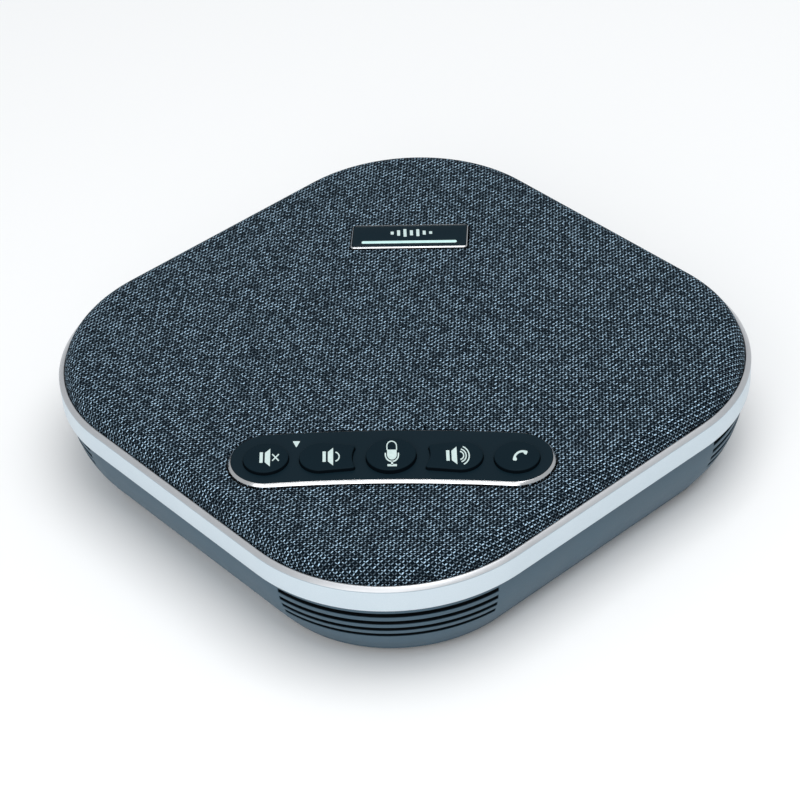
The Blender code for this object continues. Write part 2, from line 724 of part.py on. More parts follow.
def key_outlines():
    """Each key's name, outline, middle and height above the fascia."""
    side_y = KEYPAD_Y + SIDE_KEY_Y
    mic_y = KEYPAD_Y + MIC_KEY_Y
    volume_y = KEYPAD_Y + VOLUME_KEY_Y
    return [
        ("speaker_mute", circle(SIDE_KEY_R, (-SIDE_KEY_X, side_y)), (-SIDE_KEY_X, side_y), KEY_PROUD),
        ("volume_down", volume_outline(-1), (-VOLUME_KEY_X, volume_y), KEY_PROUD),
        ("microphone_mute", circle(MIC_KEY_R, (0, mic_y)), (0, mic_y), MIC_KEY_PROUD),
        ("volume_up", volume_outline(1), (VOLUME_KEY_X, volume_y), KEY_PROUD),
        ("call", circle(SIDE_KEY_R, (SIDE_KEY_X, side_y)), (SIDE_KEY_X, side_y), KEY_PROUD)]


def make_keypad():
    """Fascia, keys, their switches and the board under them."""
    keys = key_outlines()
    holes = [grown(outline, KEY_CLEARANCE) for _, outline, _, _ in keys]
    edge = keypad_outline(-(RIM_CHAMFER + RIM_TOP + GAP))
    flat_plate("keypad_fascia", [edge] + holes, FASCIA_Z0, FASCIA_Z1, FASCIA_LOOK)
    for name, outline, middle, proud in keys:
        top = FASCIA_Z1 + proud
        loft("key_" + name, [
            (grown(outline, KEY_FLANGE), KEY_FLANGE_Z0),
            (grown(outline, KEY_FLANGE), KEY_FLANGE_Z1),
            (outline, KEY_FLANGE_Z1),
            (outline, top - KEY_FILLET),
            (grown(outline, -KEY_FILLET * KEY_ROUND), top - KEY_FILLET * KEY_ROUND),
            (grown(outline, -KEY_FILLET), top)], KEY_LOOK)
        cylinder("plunger_" + name, PLUNGER_R, SWITCH_Z1 - PLUNGER_SEAT, PLUNGER_Z1, STEEL_LOOK, middle,
                 PIN_STEPS)
        switch = block("switch_" + name, (SWITCH_W, SWITCH_W, SWITCH_H),
                       (*middle, (SWITCH_Z0 + SWITCH_Z1) / 2), FRAME_LOOK)
        boolean(switch, cylinder("plunger_bore", PLUNGER_R + GAP / 2,
                                 SWITCH_Z1 - PLUNGER_SEAT - KEY_TRAVEL - GAP / 2, SWITCH_Z1 + SWITCH_H,
                                 None, middle, PIN_STEPS))
    flat_plate("key_board", [keypad_outline(-KEY_BOARD_INSET)], KEY_BOARD_Z1 - BOARD_T, KEY_BOARD_Z1,
               BOARD_LOOK)


# Badge

def make_badge():
    """Framed dark plate with a light bar, and the light board under it."""
    middle = (0, BADGE_Y)
    inner_r = BADGE_R - BADGE_RIM_W
    foot = BADGE_Z - BADGE_RIM_H

    def frame(width_loss, radius):
        return rounded_rectangle(BADGE_W - 2 * width_loss, BADGE_D - 2 * width_loss, radius, middle)

    chamfer = BADGE_RIM_W / 2
    loft("badge_rim", [
        (frame(0, BADGE_R), foot),
        (frame(0, BADGE_R), BADGE_Z - chamfer),
        (frame(chamfer, BADGE_R - chamfer), BADGE_Z),
        (frame(BADGE_RIM_W, inner_r), BADGE_Z),
        (frame(BADGE_RIM_W, inner_r), foot)], CHROME_LOOK, closed=True)
    light_y = BADGE_Y + LIGHT_Y
    slot = rounded_rectangle(LIGHT_W + 2 * GAP, LIGHT_D + 2 * GAP, GAP, (0, light_y), 1)
    plate_top = BADGE_Z - GAP / 2
    flat_plate("badge_plate", [frame(BADGE_RIM_W + GAP, inner_r), slot], plate_top - BADGE_T, plate_top,
               FASCIA_LOOK)
    block("status_light_bar", (LIGHT_W, LIGHT_D, LIGHT_H), (0, light_y, BADGE_Z - LIGHT_H / 2), LIGHT_LOOK,
          edge=GAP / 2)
    board_top = BADGE_Z - LIGHT_H - GAP
    block("badge_light_board", (BADGE_W - 2 * BADGE_BOARD_MARGIN, BADGE_D - 2 * BADGE_BOARD_MARGIN, BOARD_T),
          (0, BADGE_Y, board_top - BOARD_T / 2), BOARD_LOOK)


# Foot and fasteners

def make_foot_and_screws():
    """Rubber foot ring in its groove, and the screws that it hides."""
    loft("rubber_foot", [
        (body_outline(FOOT_INSET + FOOT_EDGE), 0.0),
        (body_outline(FOOT_INSET), FOOT_EDGE),
        (body_outline(FOOT_INSET), HOUSING_Z0 + FOOT_GROOVE - GAP),
        (body_outline(FOOT_INSET + FOOT_WIDTH), HOUSING_Z0 + FOOT_GROOVE - GAP),
        (body_outline(FOOT_INSET + FOOT_WIDTH), FOOT_EDGE),
        (body_outline(FOOT_INSET + FOOT_WIDTH - FOOT_EDGE), 0.0)], RUBBER_LOOK, closed=True)
    head_z = SCREW_SEAT_Z - SCREW_HEAD_H
    for number, spot in enumerate(SCREW_SPOTS, 1):
        turned(f"housing_screw_{number}", [
            (0, head_z + SCREW_LENGTH),
            (SCREW_SHANK_R, head_z + SCREW_LENGTH),
            (SCREW_SHANK_R, SCREW_SEAT_Z),
            (SCREW_HEAD_R, SCREW_SEAT_Z),
            (SCREW_HEAD_R, head_z),
            (0, head_z)], STEEL_LOOK, SCREW_STEPS, spot, full_axis=True)


# Loudspeaker

def make_chamber_and_basket():
    """Closed chamber behind the driver, and the windowed basket that hangs in it."""
    turned("speaker_chamber", [
        (0, CHAMBER_Z0 + CHAMBER_WALL),
        (CHAMBER_R - CHAMBER_WALL, CHAMBER_Z0 + CHAMBER_WALL),
        (CHAMBER_R - CHAMBER_WALL, CHAMBER_Z1),
        (CHAMBER_R, CHAMBER_Z1),
        (CHAMBER_R, CHAMBER_Z0),
        (0, CHAMBER_Z0)], FRAME_LOOK, full_axis=True)
    bore = COIL_OUTER_R + POLE_GAP
    basket = turned("speaker_basket", [
        (FRAME_BORE, FRAME_Z),
        (FRAME_R, FRAME_Z),
        (FRAME_R, FRAME_Z - FRAME_T),
        (FRAME_BORE + FRAME_T, FRAME_Z - FRAME_T),
        (FRAME_FOOT_R + FRAME_T / 2, BASKET_Z0),
        (bore, BASKET_Z0),
        (bore, BASKET_Z0 + FRAME_T),
        (FRAME_FOOT_R - FRAME_T / 2, BASKET_Z0 + FRAME_T)], STEEL_LOOK)
    reach = (FRAME_BORE + FRAME_FOOT_R) / 2
    for window in range(BASKET_WINDOWS):
        facing = 2 * math.pi * window / BASKET_WINDOWS
        middle = (*along(facing, reach), FRAME_Z - FRAME_DEPTH / 2)
        boolean(basket, block("basket_window", (WINDOW_D, WINDOW_W, FRAME_DEPTH / 2), middle, None, facing))
    turned("speaker_gasket", [
        (FRAME_R - GASKET_W, FRAME_Z + GAP),
        (FRAME_R - GASKET_W, PLATE_Z0 - GAP),
        (FRAME_R, PLATE_Z0 - GAP),
        (FRAME_R, FRAME_Z + GAP)], RUBBER_LOOK)


def make_suspension():
    """Rolled rubber surround at the cone's edge, and the corrugated spider at its neck."""
    lip_r = CONE_R - CONE_T * 2
    low = FRAME_Z + GAP
    middle = (CONE_R + SURROUND_R) / 2
    reach = (SURROUND_R - CONE_R) / 2 - SURROUND_T
    turns = [math.pi * step / 4 for step in range(5)]
    roll = [(middle - reach * math.cos(turn), low + SURROUND_ROLL * math.sin(turn)) for turn in turns]
    under = [(lip_r, low)] + roll + [(SURROUND_R, low)]
    over = [(radius, height + SURROUND_T) for radius, height in reversed(under)]
    turned("cone_surround", under + over, RUBBER_LOOK)
    inner = COIL_OUTER_R + POLE_GAP
    outer = FRAME_FOOT_R - FRAME_T
    base = BASKET_Z0 + FRAME_T + GAP + SPIDER_WAVE
    wave = [(inner + (outer - inner) * step / SPIDER_STEPS, base + SPIDER_WAVE * math.sin(math.pi * step / 2))
            for step in range(SPIDER_STEPS + 1)]
    back = [(radius, height + SPIDER_T) for radius, height in reversed(wave)]
    turned("cone_spider", wave + back, FABRIC_LOOK)


def make_cone():
    """Cone, dust cap and voice coil, which move together."""
    neck_z = FRAME_Z - CONE_DEPTH
    turned("speaker_cone", [
        (CONE_NECK_R, neck_z),
        (CONE_R - CONE_T, FRAME_Z - CONE_T),
        (CONE_R, FRAME_Z - CONE_T),
        (CONE_R, FRAME_Z),
        (CONE_R - CONE_T * 2, FRAME_Z),
        (CONE_NECK_R, neck_z + CONE_T)], CONE_LOOK)
    slope = CONE_DEPTH / (CONE_R - CONE_NECK_R)
    cap_z = neck_z + CONE_T + (CAP_R - CONE_NECK_R) * slope + GAP
    turns = [math.pi / 2 * step / 4 for step in range(4)]
    outer, inner = [[((CAP_R - thinner) * math.cos(turn), cap_z + (CAP_RISE - thinner) * math.sin(turn))
                     for turn in turns] for thinner in (0, CAP_T)]
    turned("dust_cap", [(0, cap_z + CAP_RISE)] + list(reversed(outer)) + inner
           + [(0, cap_z + CAP_RISE - CAP_T)], CONE_LOOK, full_axis=True)
    coil_top = neck_z - GAP
    turned("voice_coil", [
        (COIL_R, coil_top),
        (COIL_OUTER_R, coil_top),
        (COIL_OUTER_R, coil_top - COIL_H),
        (COIL_R, coil_top - COIL_H)], COPPER_LOOK)


def make_motor():
    """Top plate, ring magnet, and yoke with its pole."""
    plate_top = BASKET_Z0 - GAP
    plate_foot = plate_top - TOP_PLATE_T
    magnet_foot = plate_foot - GAP - MAGNET_T
    yoke_top = magnet_foot - GAP
    turned("speaker_top_plate", [
        (COIL_OUTER_R + POLE_GAP, plate_top),
        (TOP_PLATE_R, plate_top),
        (TOP_PLATE_R, plate_foot),
        (COIL_OUTER_R + POLE_GAP, plate_foot)], STEEL_LOOK)
    turned("speaker_magnet", [
        (MAGNET_BORE, plate_foot - GAP),
        (MAGNET_R, plate_foot - GAP),
        (MAGNET_R, magnet_foot),
        (MAGNET_BORE, magnet_foot)], MAGNET_LOOK)
    turned("speaker_yoke", [
        (0, plate_top),
        (COIL_R - POLE_GAP, plate_top),
        (COIL_R - POLE_GAP, yoke_top),
        (TOP_PLATE_R, yoke_top),
        (TOP_PLATE_R, yoke_top - YOKE_T),
        (0, yoke_top - YOKE_T)], STEEL_LOOK, full_axis=True)


# Electronics

def along(facing, reach, aside=0.0):
    """Point at a reach along a direction, and aside to its left."""
    return (reach * math.cos(facing) - aside * math.sin(facing),
            reach * math.sin(facing) + aside * math.cos(facing))


def side_reach(height):
    """Distance from the axis to the housing's inner face at a flat side."""
    return SIDE / 2 - housing_inset(height) - HOUSING_WALL


def board_posts():
    """Places of the posts that carry the main board."""
    return [along(PORT_SIDE, main_reach() + out * (MAIN_D / 2 - POST_R), aside * (MAIN_W / 2 - POST_R))
            for out in (-1, 1) for aside in (-1, 1)]


def main_reach():
    """Distance from the axis to the main board's middle."""
    return side_reach(MAIN_Z0) - WALL_MARGIN - MAIN_D / 2


def battery_reach():
    """Distance from the axis to the battery's middle."""
    return side_reach(BATTERY_Z0) - WALL_MARGIN - BATTERY_D / 2


def port_cutter():
    """Opening for the USB-C plug through the housing's side."""
    height = USB_H + 2 * GAP
    outline = rounded_rectangle(USB_W + 2 * GAP, height, height * USB_ROUND)
    tool = flat_plate("port_opening", [outline], -PORT_CUT, PORT_CUT, None)
    stand_radially(tool, PORT_SIDE, side_reach(USB_Z) + HOUSING_WALL, USB_Z)
    return tool


def stand_radially(part, facing, reach, height):
    """Turn a part built on the XY plane so that its +Z points outwards."""
    turn = Matrix.Rotation(facing + math.pi / 2, 4, "Z") @ Matrix.Rotation(math.pi / 2, 4, "X")
    part.data.transform(Matrix.Translation((*along(facing, reach), height)) @ turn)


def make_port():
    """USB-C receptacle and its tongue, facing out through the housing."""
    mouth = side_reach(USB_Z) + HOUSING_WALL - USB_SET_IN

    def ring(loss):
        height = USB_H - 2 * loss
        return rounded_rectangle(USB_W - 2 * loss, height, height * USB_ROUND)

    shell = loft("usb_c_receptacle", [
        (ring(0), -USB_DEPTH), (ring(0), 0), (ring(USB_WALL), 0), (ring(USB_WALL), USB_WALL * 2 - USB_DEPTH)],
        STEEL_LOOK)
    stand_radially(shell, PORT_SIDE, mouth, USB_Z)
    tongue_length = USB_DEPTH - USB_WALL * 2 - GAP * 2
    block("usb_c_tongue", (tongue_length, TONGUE_W, TONGUE_T),
          (*along(PORT_SIDE, mouth - tongue_length / 2 - GAP), USB_Z), FRAME_LOOK, PORT_SIDE)


def make_electronics():
    """Main board with its shield, battery and microphone modules."""
    reach = main_reach()
    block("main_board", (MAIN_D, MAIN_W, BOARD_T), (*along(PORT_SIDE, reach), (MAIN_Z0 + MAIN_Z1) / 2),
          BOARD_LOOK, PORT_SIDE)
    shield_reach = reach - (MAIN_D - SHIELD_D) / 2 + GAP
    shield_middle = (*along(PORT_SIDE, shield_reach, SHIELD_ASIDE), MAIN_Z1 + GAP + SHIELD_H / 2)
    block("processor_shield", (SHIELD_D, SHIELD_W, SHIELD_H), shield_middle, STEEL_LOOK, PORT_SIDE)
    block("battery_pack", (BATTERY_D, BATTERY_W, BATTERY_H),
          (*along(BATTERY_SIDE, battery_reach()), BATTERY_Z0 + BATTERY_H / 2), BATTERY_LOOK, BATTERY_SIDE,
          BATTERY_EDGE)
    mic_z = (vent_top(0) + vent_top(VENT_COUNT - 1)) / 2
    mic_reach = CORNER_REACH - housing_inset(vent_top(VENT_COUNT)) - HOUSING_WALL - MESH_T - MIC_SET_BACK
    for name, facing in zip(CORNER_NAMES, CORNERS):
        block("microphone_" + name, (MIC_T, MIC_W, MIC_H), (*along(facing, mic_reach), mic_z), RUBBER_LOOK,
              facing)


def make_leads():
    """Battery lead and keypad cable, which run around the chamber to the main board."""
    low = MAIN_Z1 + LEAD_R + GAP
    ring = CHAMBER_R + LEAD_CLEARANCE
    battery = battery_reach()
    battery_end = BATTERY_W / 2 + GAP
    board_end = -MAIN_W / 2 - GAP
    lead("battery_lead", [
        (*along(BATTERY_SIDE, battery, battery_end), low),
        (*along(BATTERY_SIDE, battery, battery_end + LEAD_STUB), low),
        (*along(math.radians(-88), battery + LEAD_SWING), low),
        (*along(math.radians(-60), ring), low),
        (*along(math.radians(-30), ring), low),
        (*along(0, main_reach() + LEAD_SWING), low),
        (*along(PORT_SIDE, main_reach(), board_end - LEAD_STUB), low),
        (*along(PORT_SIDE, main_reach(), board_end), low)])
    under_keys = KEY_BOARD_Z1 - BOARD_T - LEAD_R - GAP
    lead("keypad_cable", [
        (KEYPAD_LENGTH * CABLE_SHARE, KEYPAD_Y, under_keys),
        (*along(math.radians(-35), ring), under_keys - CABLE_DROPS[0]),
        (*along(math.radians(-8), ring), under_keys - CABLE_DROPS[1]),
        (*along(math.radians(15), ring - LEAD_STUB), MAIN_Z1 + CABLE_RISE),
        (*along(PORT_SIDE, main_reach(), -MAIN_W * CABLE_SHARE), low)])


clear_scene()
PARTS = new_collection("conference_speakerphone")
CUTTERS = new_collection("cutters")

FABRIC_LOOK = material("fabric", (0.045, 0.065, 0.09), 0.9)
RING_LOOK = material("satin_silver", (0.66, 0.72, 0.76), 0.35, 0.6)
HOUSING_LOOK = material("housing_plastic", (0.10, 0.17, 0.22), 0.5)
FRAME_LOOK = material("black_plastic", (0.02, 0.022, 0.025), 0.6)
CHROME_LOOK = material("chrome", (0.8, 0.8, 0.8), 0.1, 1.0)
FASCIA_LOOK = material("fascia_plastic", (0.012, 0.022, 0.032), 0.3)
KEY_LOOK = material("key_rubber", (0.012, 0.02, 0.03), 0.5)
LIGHT_LOOK = material("light_guide", (0.7, 0.9, 0.87), 0.3)
MESH_LOOK = material("vent_mesh", (0.01, 0.012, 0.014), 0.8)
RUBBER_LOOK = material("rubber", (0.02, 0.02, 0.02), 0.85)
STEEL_LOOK = material("steel", (0.55, 0.56, 0.57), 0.35, 1.0)
BOARD_LOOK = material("circuit_board", (0.02, 0.12, 0.06), 0.5)
CONE_LOOK = material("cone_paper", (0.03, 0.03, 0.03), 0.8)
COPPER_LOOK = material("copper", (0.72, 0.4, 0.2), 0.4, 1.0)
MAGNET_LOOK = material("ferrite", (0.05, 0.05, 0.055), 0.7)
BATTERY_LOOK = material("battery_wrap", (0.03, 0.08, 0.2), 0.4)
LEAD_LOOK = material("lead_insulation", (0.03, 0.03, 0.03), 0.6)

make_lower_housing()
make_vent_meshes()
make_trim_ring()
make_fabric_cover()
make_grille_plate()
make_keypad_rim()
make_keypad()
make_badge()
make_foot_and_screws()
make_chamber_and_basket()
make_suspension()
make_cone()
make_motor()
make_port()
make_electronics()
make_leads()
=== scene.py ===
"""Looks of the conference speakerphone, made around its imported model.

Lengths are in metres.  The front corner, with the keys, points along -Y.  The unit rests on Z = 0.
"""
import json
import math

import bmesh
import bpy
from mathutils import Matrix, Vector


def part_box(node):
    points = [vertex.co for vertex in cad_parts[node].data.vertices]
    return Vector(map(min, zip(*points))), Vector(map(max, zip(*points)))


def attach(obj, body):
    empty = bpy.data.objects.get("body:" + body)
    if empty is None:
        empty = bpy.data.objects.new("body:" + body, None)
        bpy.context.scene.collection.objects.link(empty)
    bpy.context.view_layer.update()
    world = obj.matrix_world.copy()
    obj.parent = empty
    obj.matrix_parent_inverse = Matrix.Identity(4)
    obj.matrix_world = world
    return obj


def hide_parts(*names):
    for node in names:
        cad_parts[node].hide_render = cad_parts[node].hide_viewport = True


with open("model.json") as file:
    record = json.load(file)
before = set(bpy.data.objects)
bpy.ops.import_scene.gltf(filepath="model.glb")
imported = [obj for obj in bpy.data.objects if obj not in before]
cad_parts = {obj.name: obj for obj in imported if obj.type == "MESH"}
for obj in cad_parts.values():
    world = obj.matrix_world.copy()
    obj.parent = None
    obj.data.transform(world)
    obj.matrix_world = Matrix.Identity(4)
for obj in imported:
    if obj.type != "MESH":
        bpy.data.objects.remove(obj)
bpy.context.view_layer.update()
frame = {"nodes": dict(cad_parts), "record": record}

MM = 0.001
RECORD_SLOTS = {row["node"]: row["material_slot"] for row in frame["record"]["subparts"]}

# Overall form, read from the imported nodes
RING_LOW, RING_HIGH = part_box("trim_ring")
HOUSING_LOW, HOUSING_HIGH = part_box("lower_housing")
COVER_LOW, COVER_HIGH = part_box("fabric_cover")
RIM_LOW, RIM_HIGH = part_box("keypad_rim")
FASCIA_LOW, FASCIA_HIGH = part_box("keypad_fascia")
BADGE_LOW, BADGE_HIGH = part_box("badge_rim")
REACH = RING_HIGH.x                  # origin to a corner of the trim ring
FLAT = max((vert.co.x + vert.co.y) / math.sqrt(2)
           for vert in frame["nodes"]["trim_ring"].data.vertices)
CORNER_R = (FLAT * math.sqrt(2) - REACH) / (math.sqrt(2) - 1)
CORNER_C = REACH - CORNER_R
CORNERS = [number * math.pi / 2 for number in range(4)]
CORNER_NAMES = ("right", "back", "left", "front")
PORT_SIDE = math.radians(45)
CORNER_STEPS = 32
FLAT_STEPS = 8

# Housing
OVERHANG = REACH - HOUSING_HIGH.x
TAPER_DEPTH = 7.3 * MM
TAPER_POWER = 2.1
TAPER_LEVELS = 20
WALL = 2.2 * MM
FLOOR_T = 2.4 * MM
BASE_EDGE = 1.2 * MM
BASE_DRAW = 2.2 * MM
BASE_STEPS = 6
VENT_COUNT = 4
VENT_H = 1.3 * MM
VENT_PITCH = 2.4 * MM
VENT_TOP_LAND = 1.2 * MM
VENT_HALF_ANGLE = math.radians(38)
VENT_STEPS = 48
VENT_LAP_ANGLE = math.radians(3)     # mesh beyond the ends of the slots
MESH_GAP = 0.3 * MM
MESH_T = 0.5 * MM
MESH_LAP = 0.8 * MM
MESH_ROWS = 10
PORT_W = 9.5 * MM
PORT_ROUND = 0.48                    # corner radius as a share of the height
PORT_CUT = 2.5 * WALL
FOOT_INSET = 15 * MM
FOOT_WIDTH = 10 * MM
FOOT_EDGE = 0.5 * MM
FOOT_GAP = 0.3 * MM
FOOT_ROUND = 0.2 * MM

# Trim ring
LIP_WIDTH = 0.95 * MM
LIP_DROP = 0.75 * MM
RING_EDGE = 0.4 * MM
RING_GROOVE_SHADE = 0.2 * MM                 # painted shade of a groove: dark line under the lip
RING_ROUND = 0.06 * MM
SHELF_W = 3.2 * MM
SHELF_T = 1.8 * MM

# Cover
COVER_INSET = REACH - COVER_HIGH.x
ROLL_R = 4.5 * MM
COVER_PROUD = 4.4 * MM
COVER_Z = RING_HIGH.z + COVER_PROUD
ROLL_Z = COVER_Z - ROLL_R
ROLL_INSET = COVER_INSET + ROLL_R
ROLL_STEPS = 12
DOME_RISE = 0.6 * MM
DOME_STEPS = 16
DOME_SPAN = 0.94                     # how much of the top its rings cover
OPENING_CUT = 5 * MM
CLOTH_T = 0.8 * MM
OPENING_GAP = 0.3 * MM
CLOTH_EDGE = 0.35 * MM
YARN_X = 0.77 * MM                   # distance between yarns across X
YARN_Y = 0.69 * MM

# Keypad
KEYPAD_LENGTH = 73.3 * MM
KEYPAD_DEPTH = 18.2 * MM
KEYPAD_BOW_R = 325 * MM
KEYPAD_Y = RIM_HIGH.y - KEYPAD_DEPTH / 2
RIM_CHAMFER = 0.6 * MM
RIM_TOP = 0.05 * MM
RIM_ROUND = 0.05 * MM
RIM_LEDGE = 0.9 * MM
FASCIA_GAP = 0.06 * MM
FASCIA_ROUND = 0.1 * MM
HOLE_GAP = 0.12 * MM
KEY_FILLET = 0.3 * MM
KEY_FILLET_STEPS = 5
KEY_FLANGE = 0.5 * MM
SIDE_KEY_R = 5.1 * MM
SIDE_KEY_X = 28.0 * MM
SIDE_KEY_Y = -1.65 * MM
MIC_KEY_R = 5.6 * MM
MIC_KEY_Y = -0.95 * MM
VOLUME_KEY_X = 15.6 * MM
VOLUME_KEY_Y = -1.35 * MM
VOLUME_KEY_R = 4.9 * MM
VOLUME_TIP = 3.9 * MM
VOLUME_INNER_R = 8.7 * MM
VOLUME_CORNER_R = 0.9 * MM
PRINT_T = 0.05 * MM
PRINT_PROUD = 0.03 * MM
PRINT_TALL = 1.55                    # signs are drawn tall, to be read from a low angle
PRINT_LEAN = 0.07                    # and lean left, to look upright from right of the front
POINTER_X = -21.62 * MM
POINTER_Y = 3.82 * MM

# Badge
BADGE_R = 0.9 * MM
BADGE_RIM_W = 0.36 * MM
BADGE_CHAMFER = BADGE_RIM_W * 0.7
BADGE_ROUND = 0.06 * MM
BADGE_Y = (BADGE_LOW.y + BADGE_HIGH.y) / 2
BADGE_W = BADGE_HIGH.x - BADGE_LOW.x
BADGE_D = BADGE_HIGH.y - BADGE_LOW.y
PLATE_GAP = 0.06 * MM
PLATE_ROUND = 0.08 * MM
LIGHT_GAP = 0.1 * MM
LIGHT_R = 0.5 * MM
LIGHT_ROUND = 0.15 * MM
LEVEL_X = 0.4 * MM
LEVEL_Y = 1.35 * MM

# Cloth, in cells of the weave
RISE_LEAN = 42                       # degrees
RISE_SIZE = (0.58, 0.23)
FALL_LEAN = -44
FALL_SIZE = (0.40, 0.18)
FALL_SHIFT = (0.20, -0.04, 0.0)
FALL_SHARE = 0.8
DRIFT = 0.7

# Grained looks: slot, plain colour, roughness and sockets, then what grained() takes
GRAINED = (
    ("housing_plastic", (0.07, 0.125, 0.17), 0.5, {"Specular_IOR_Level": 0.35},
     (0.047, 0.092, 0.128), (0.064, 0.117, 0.160), (0.46, 0.58), 3800.0, 0.02 * MM),
    ("fascia_plastic", (0.005, 0.014, 0.022), 0.4, {"Specular_IOR_Level": 0.08},
     (0.0042, 0.0135, 0.0205), (0.0055, 0.0160, 0.0240), (0.36, 0.46), 6000.0, 0.003 * MM),
    ("key_plastic", (0.004, 0.012, 0.019), 0.5, {"Specular_IOR_Level": 0.06},
     (0.0030, 0.0112, 0.0175), (0.0042, 0.0138, 0.0210), (0.5, 0.6), 5000.0, 0.004 * MM),
    ("black_rubber", (0.02, 0.02, 0.02), 0.85, {"Specular_IOR_Level": 0.3},
     (0.014, 0.014, 0.015), (0.026, 0.026, 0.027), (0.78, 0.92), 2600.0, 0.05 * MM),
    ("black_plastic", (0.02, 0.022, 0.025), 0.55, {},
     (0.016, 0.018, 0.021), (0.027, 0.029, 0.033), (0.48, 0.64), 3400.0, 0.03 * MM),
    ("cone_paper", (0.03, 0.03, 0.03), 0.9, {"Specular_IOR_Level": 0.2},
     (0.018, 0.018, 0.018), (0.045, 0.044, 0.042), (0.85, 0.97), 1500.0, 0.08 * MM, 300.0),
    ("ferrite", (0.05, 0.05, 0.055), 0.6, {},
     (0.035, 0.035, 0.04), (0.065, 0.065, 0.07), (0.5, 0.72), 1800.0, 0.05 * MM, 150.0),
    ("battery_wrap", (0.03, 0.08, 0.2), 0.3, {"Coat_Weight": 0.3},
     (0.022, 0.065, 0.17), (0.035, 0.09, 0.22), (0.24, 0.38), 350.0, 0.06 * MM, 40.0),
    ("lead_insulation", (0.03, 0.03, 0.03), 0.5, {},
     (0.022, 0.022, 0.023), (0.038, 0.038, 0.04), (0.42, 0.58), 2200.0, 0.02 * MM),
)

# Stage
FLOOR_REACH = 4.0
WORLD_COLOUR = (0.93, 0.97, 1.0, 1.0)
WORLD_STRENGTH = 0.46
LAMPS = (("front_box", (-0.25, -0.9, 0.6), 0.8, 3.6),
         ("top_box", (0.15, -0.1, 1.1), 0.9, 7.5))
AZIMUTH = math.radians(5.301)
ELEVATION = math.radians(38.627)
BANK = math.radians(-3.867)
CAMERA_SPOT = (43.081 * MM, -478.625 * MM, 396.376 * MM)
LENS = 114.915
SENSOR = 36.0


# Outlines, as lists of points running anticlockwise

def body_outline(inset, scale=1.0):
    """Rounded square with its corners on the axes, drawn in by an inset."""
    corners = []
    for facing in CORNERS:
        centre = Vector((math.cos(facing), math.sin(facing))) * CORNER_C
        corners.append(arc(CORNER_R - inset, centre, facing - math.pi / 4, facing + math.pi / 4,
                           CORNER_STEPS))
    points = []
    for number, corner in enumerate(corners):
        following = corners[(number + 1) % 4][0]
        points += corner
        points += [corner[-1].lerp(following, step / FLAT_STEPS) for step in range(1, FLAT_STEPS)]
    return [point * scale for point in points]


def arc(radius, centre, start, end, steps):
    """Arc from one angle to another."""
    turns = [start + (end - start) * step / steps for step in range(steps + 1)]
    return [Vector((centre[0] + radius * math.cos(turn), centre[1] + radius * math.sin(turn)))
            for turn in turns]


def circle(radius, centre=(0.0, 0.0), steps=64):
    """Full circle."""
    return arc(radius, centre, 0, 2 * math.pi, steps)[:-1]


def rounded_rectangle(width, depth, radius, centre=(0.0, 0.0), steps=8):
    """Rectangle with rounded corners."""
    points = []
    for number, (sx, sy) in enumerate(((1, 1), (-1, 1), (-1, -1), (1, -1))):
        middle = (centre[0] + sx * (width / 2 - radius), centre[1] + sy * (depth / 2 - radius))
        points += arc(radius, middle, number * math.pi / 2, (number + 1) * math.pi / 2, steps)
    return points


def keypad_outline(grow=0.0):
    """Bowed lozenge of the keypad, grown outwards by an amount."""
    reach = KEYPAD_DEPTH / 2 + grow
    lean = math.asin((KEYPAD_LENGTH - KEYPAD_DEPTH) / 2 / KEYPAD_BOW_R)
    bow = (0.0, KEYPAD_Y - KEYPAD_BOW_R)
    up = math.pi / 2
    right = (KEYPAD_BOW_R * math.sin(lean), bow[1] + KEYPAD_BOW_R * math.cos(lean))
    left = (-right[0], right[1])
    far = arc(KEYPAD_BOW_R + reach, bow, up - lean, up + lean, 24)
    near = arc(KEYPAD_BOW_R - reach, bow, up + lean, up - lean, 24)
    left_end = arc(reach, left, up + lean, up + lean + math.pi, 36)[1:-1]
    right_end = arc(reach, right, -up - lean, up - lean, 36)[1:-1]
    return far + left_end + near + right_end


def volume_outline(side):
    """Volume key: round outer end, hollow side around the microphone key, softened tips."""
    middle = Vector((side * VOLUME_KEY_X, KEYPAD_Y + VOLUME_KEY_Y))
    mic = Vector((0.0, KEYPAD_Y + MIC_KEY_Y))
    offset = VOLUME_KEY_Y - MIC_KEY_Y
    rise = math.asin((VOLUME_TIP + offset) / VOLUME_INNER_R)
    fall = math.asin((VOLUME_TIP - offset) / VOLUME_INNER_R)
    if side < 0:
        outer = arc(VOLUME_KEY_R, middle, math.pi / 2, 3 * math.pi / 2, 40)
        hollow = arc(VOLUME_INNER_R, mic, math.pi + fall, math.pi - rise, 24)
    else:
        outer = arc(VOLUME_KEY_R, middle, -math.pi / 2, math.pi / 2, 40)
        hollow = arc(VOLUME_INNER_R, mic, rise, -fall, 24)
    return softened(refined(outer + hollow, 0.3 * MM), VOLUME_CORNER_R)


def refined(outline, spacing):
    """Add points along an outline's long edges."""
    points = []
    for number, start in enumerate(outline):
        end = outline[(number + 1) % len(outline)]
        steps = max(1, math.ceil((end - start).length / spacing))
        points += [start.lerp(end, step / steps) for step in range(steps)]
    return points


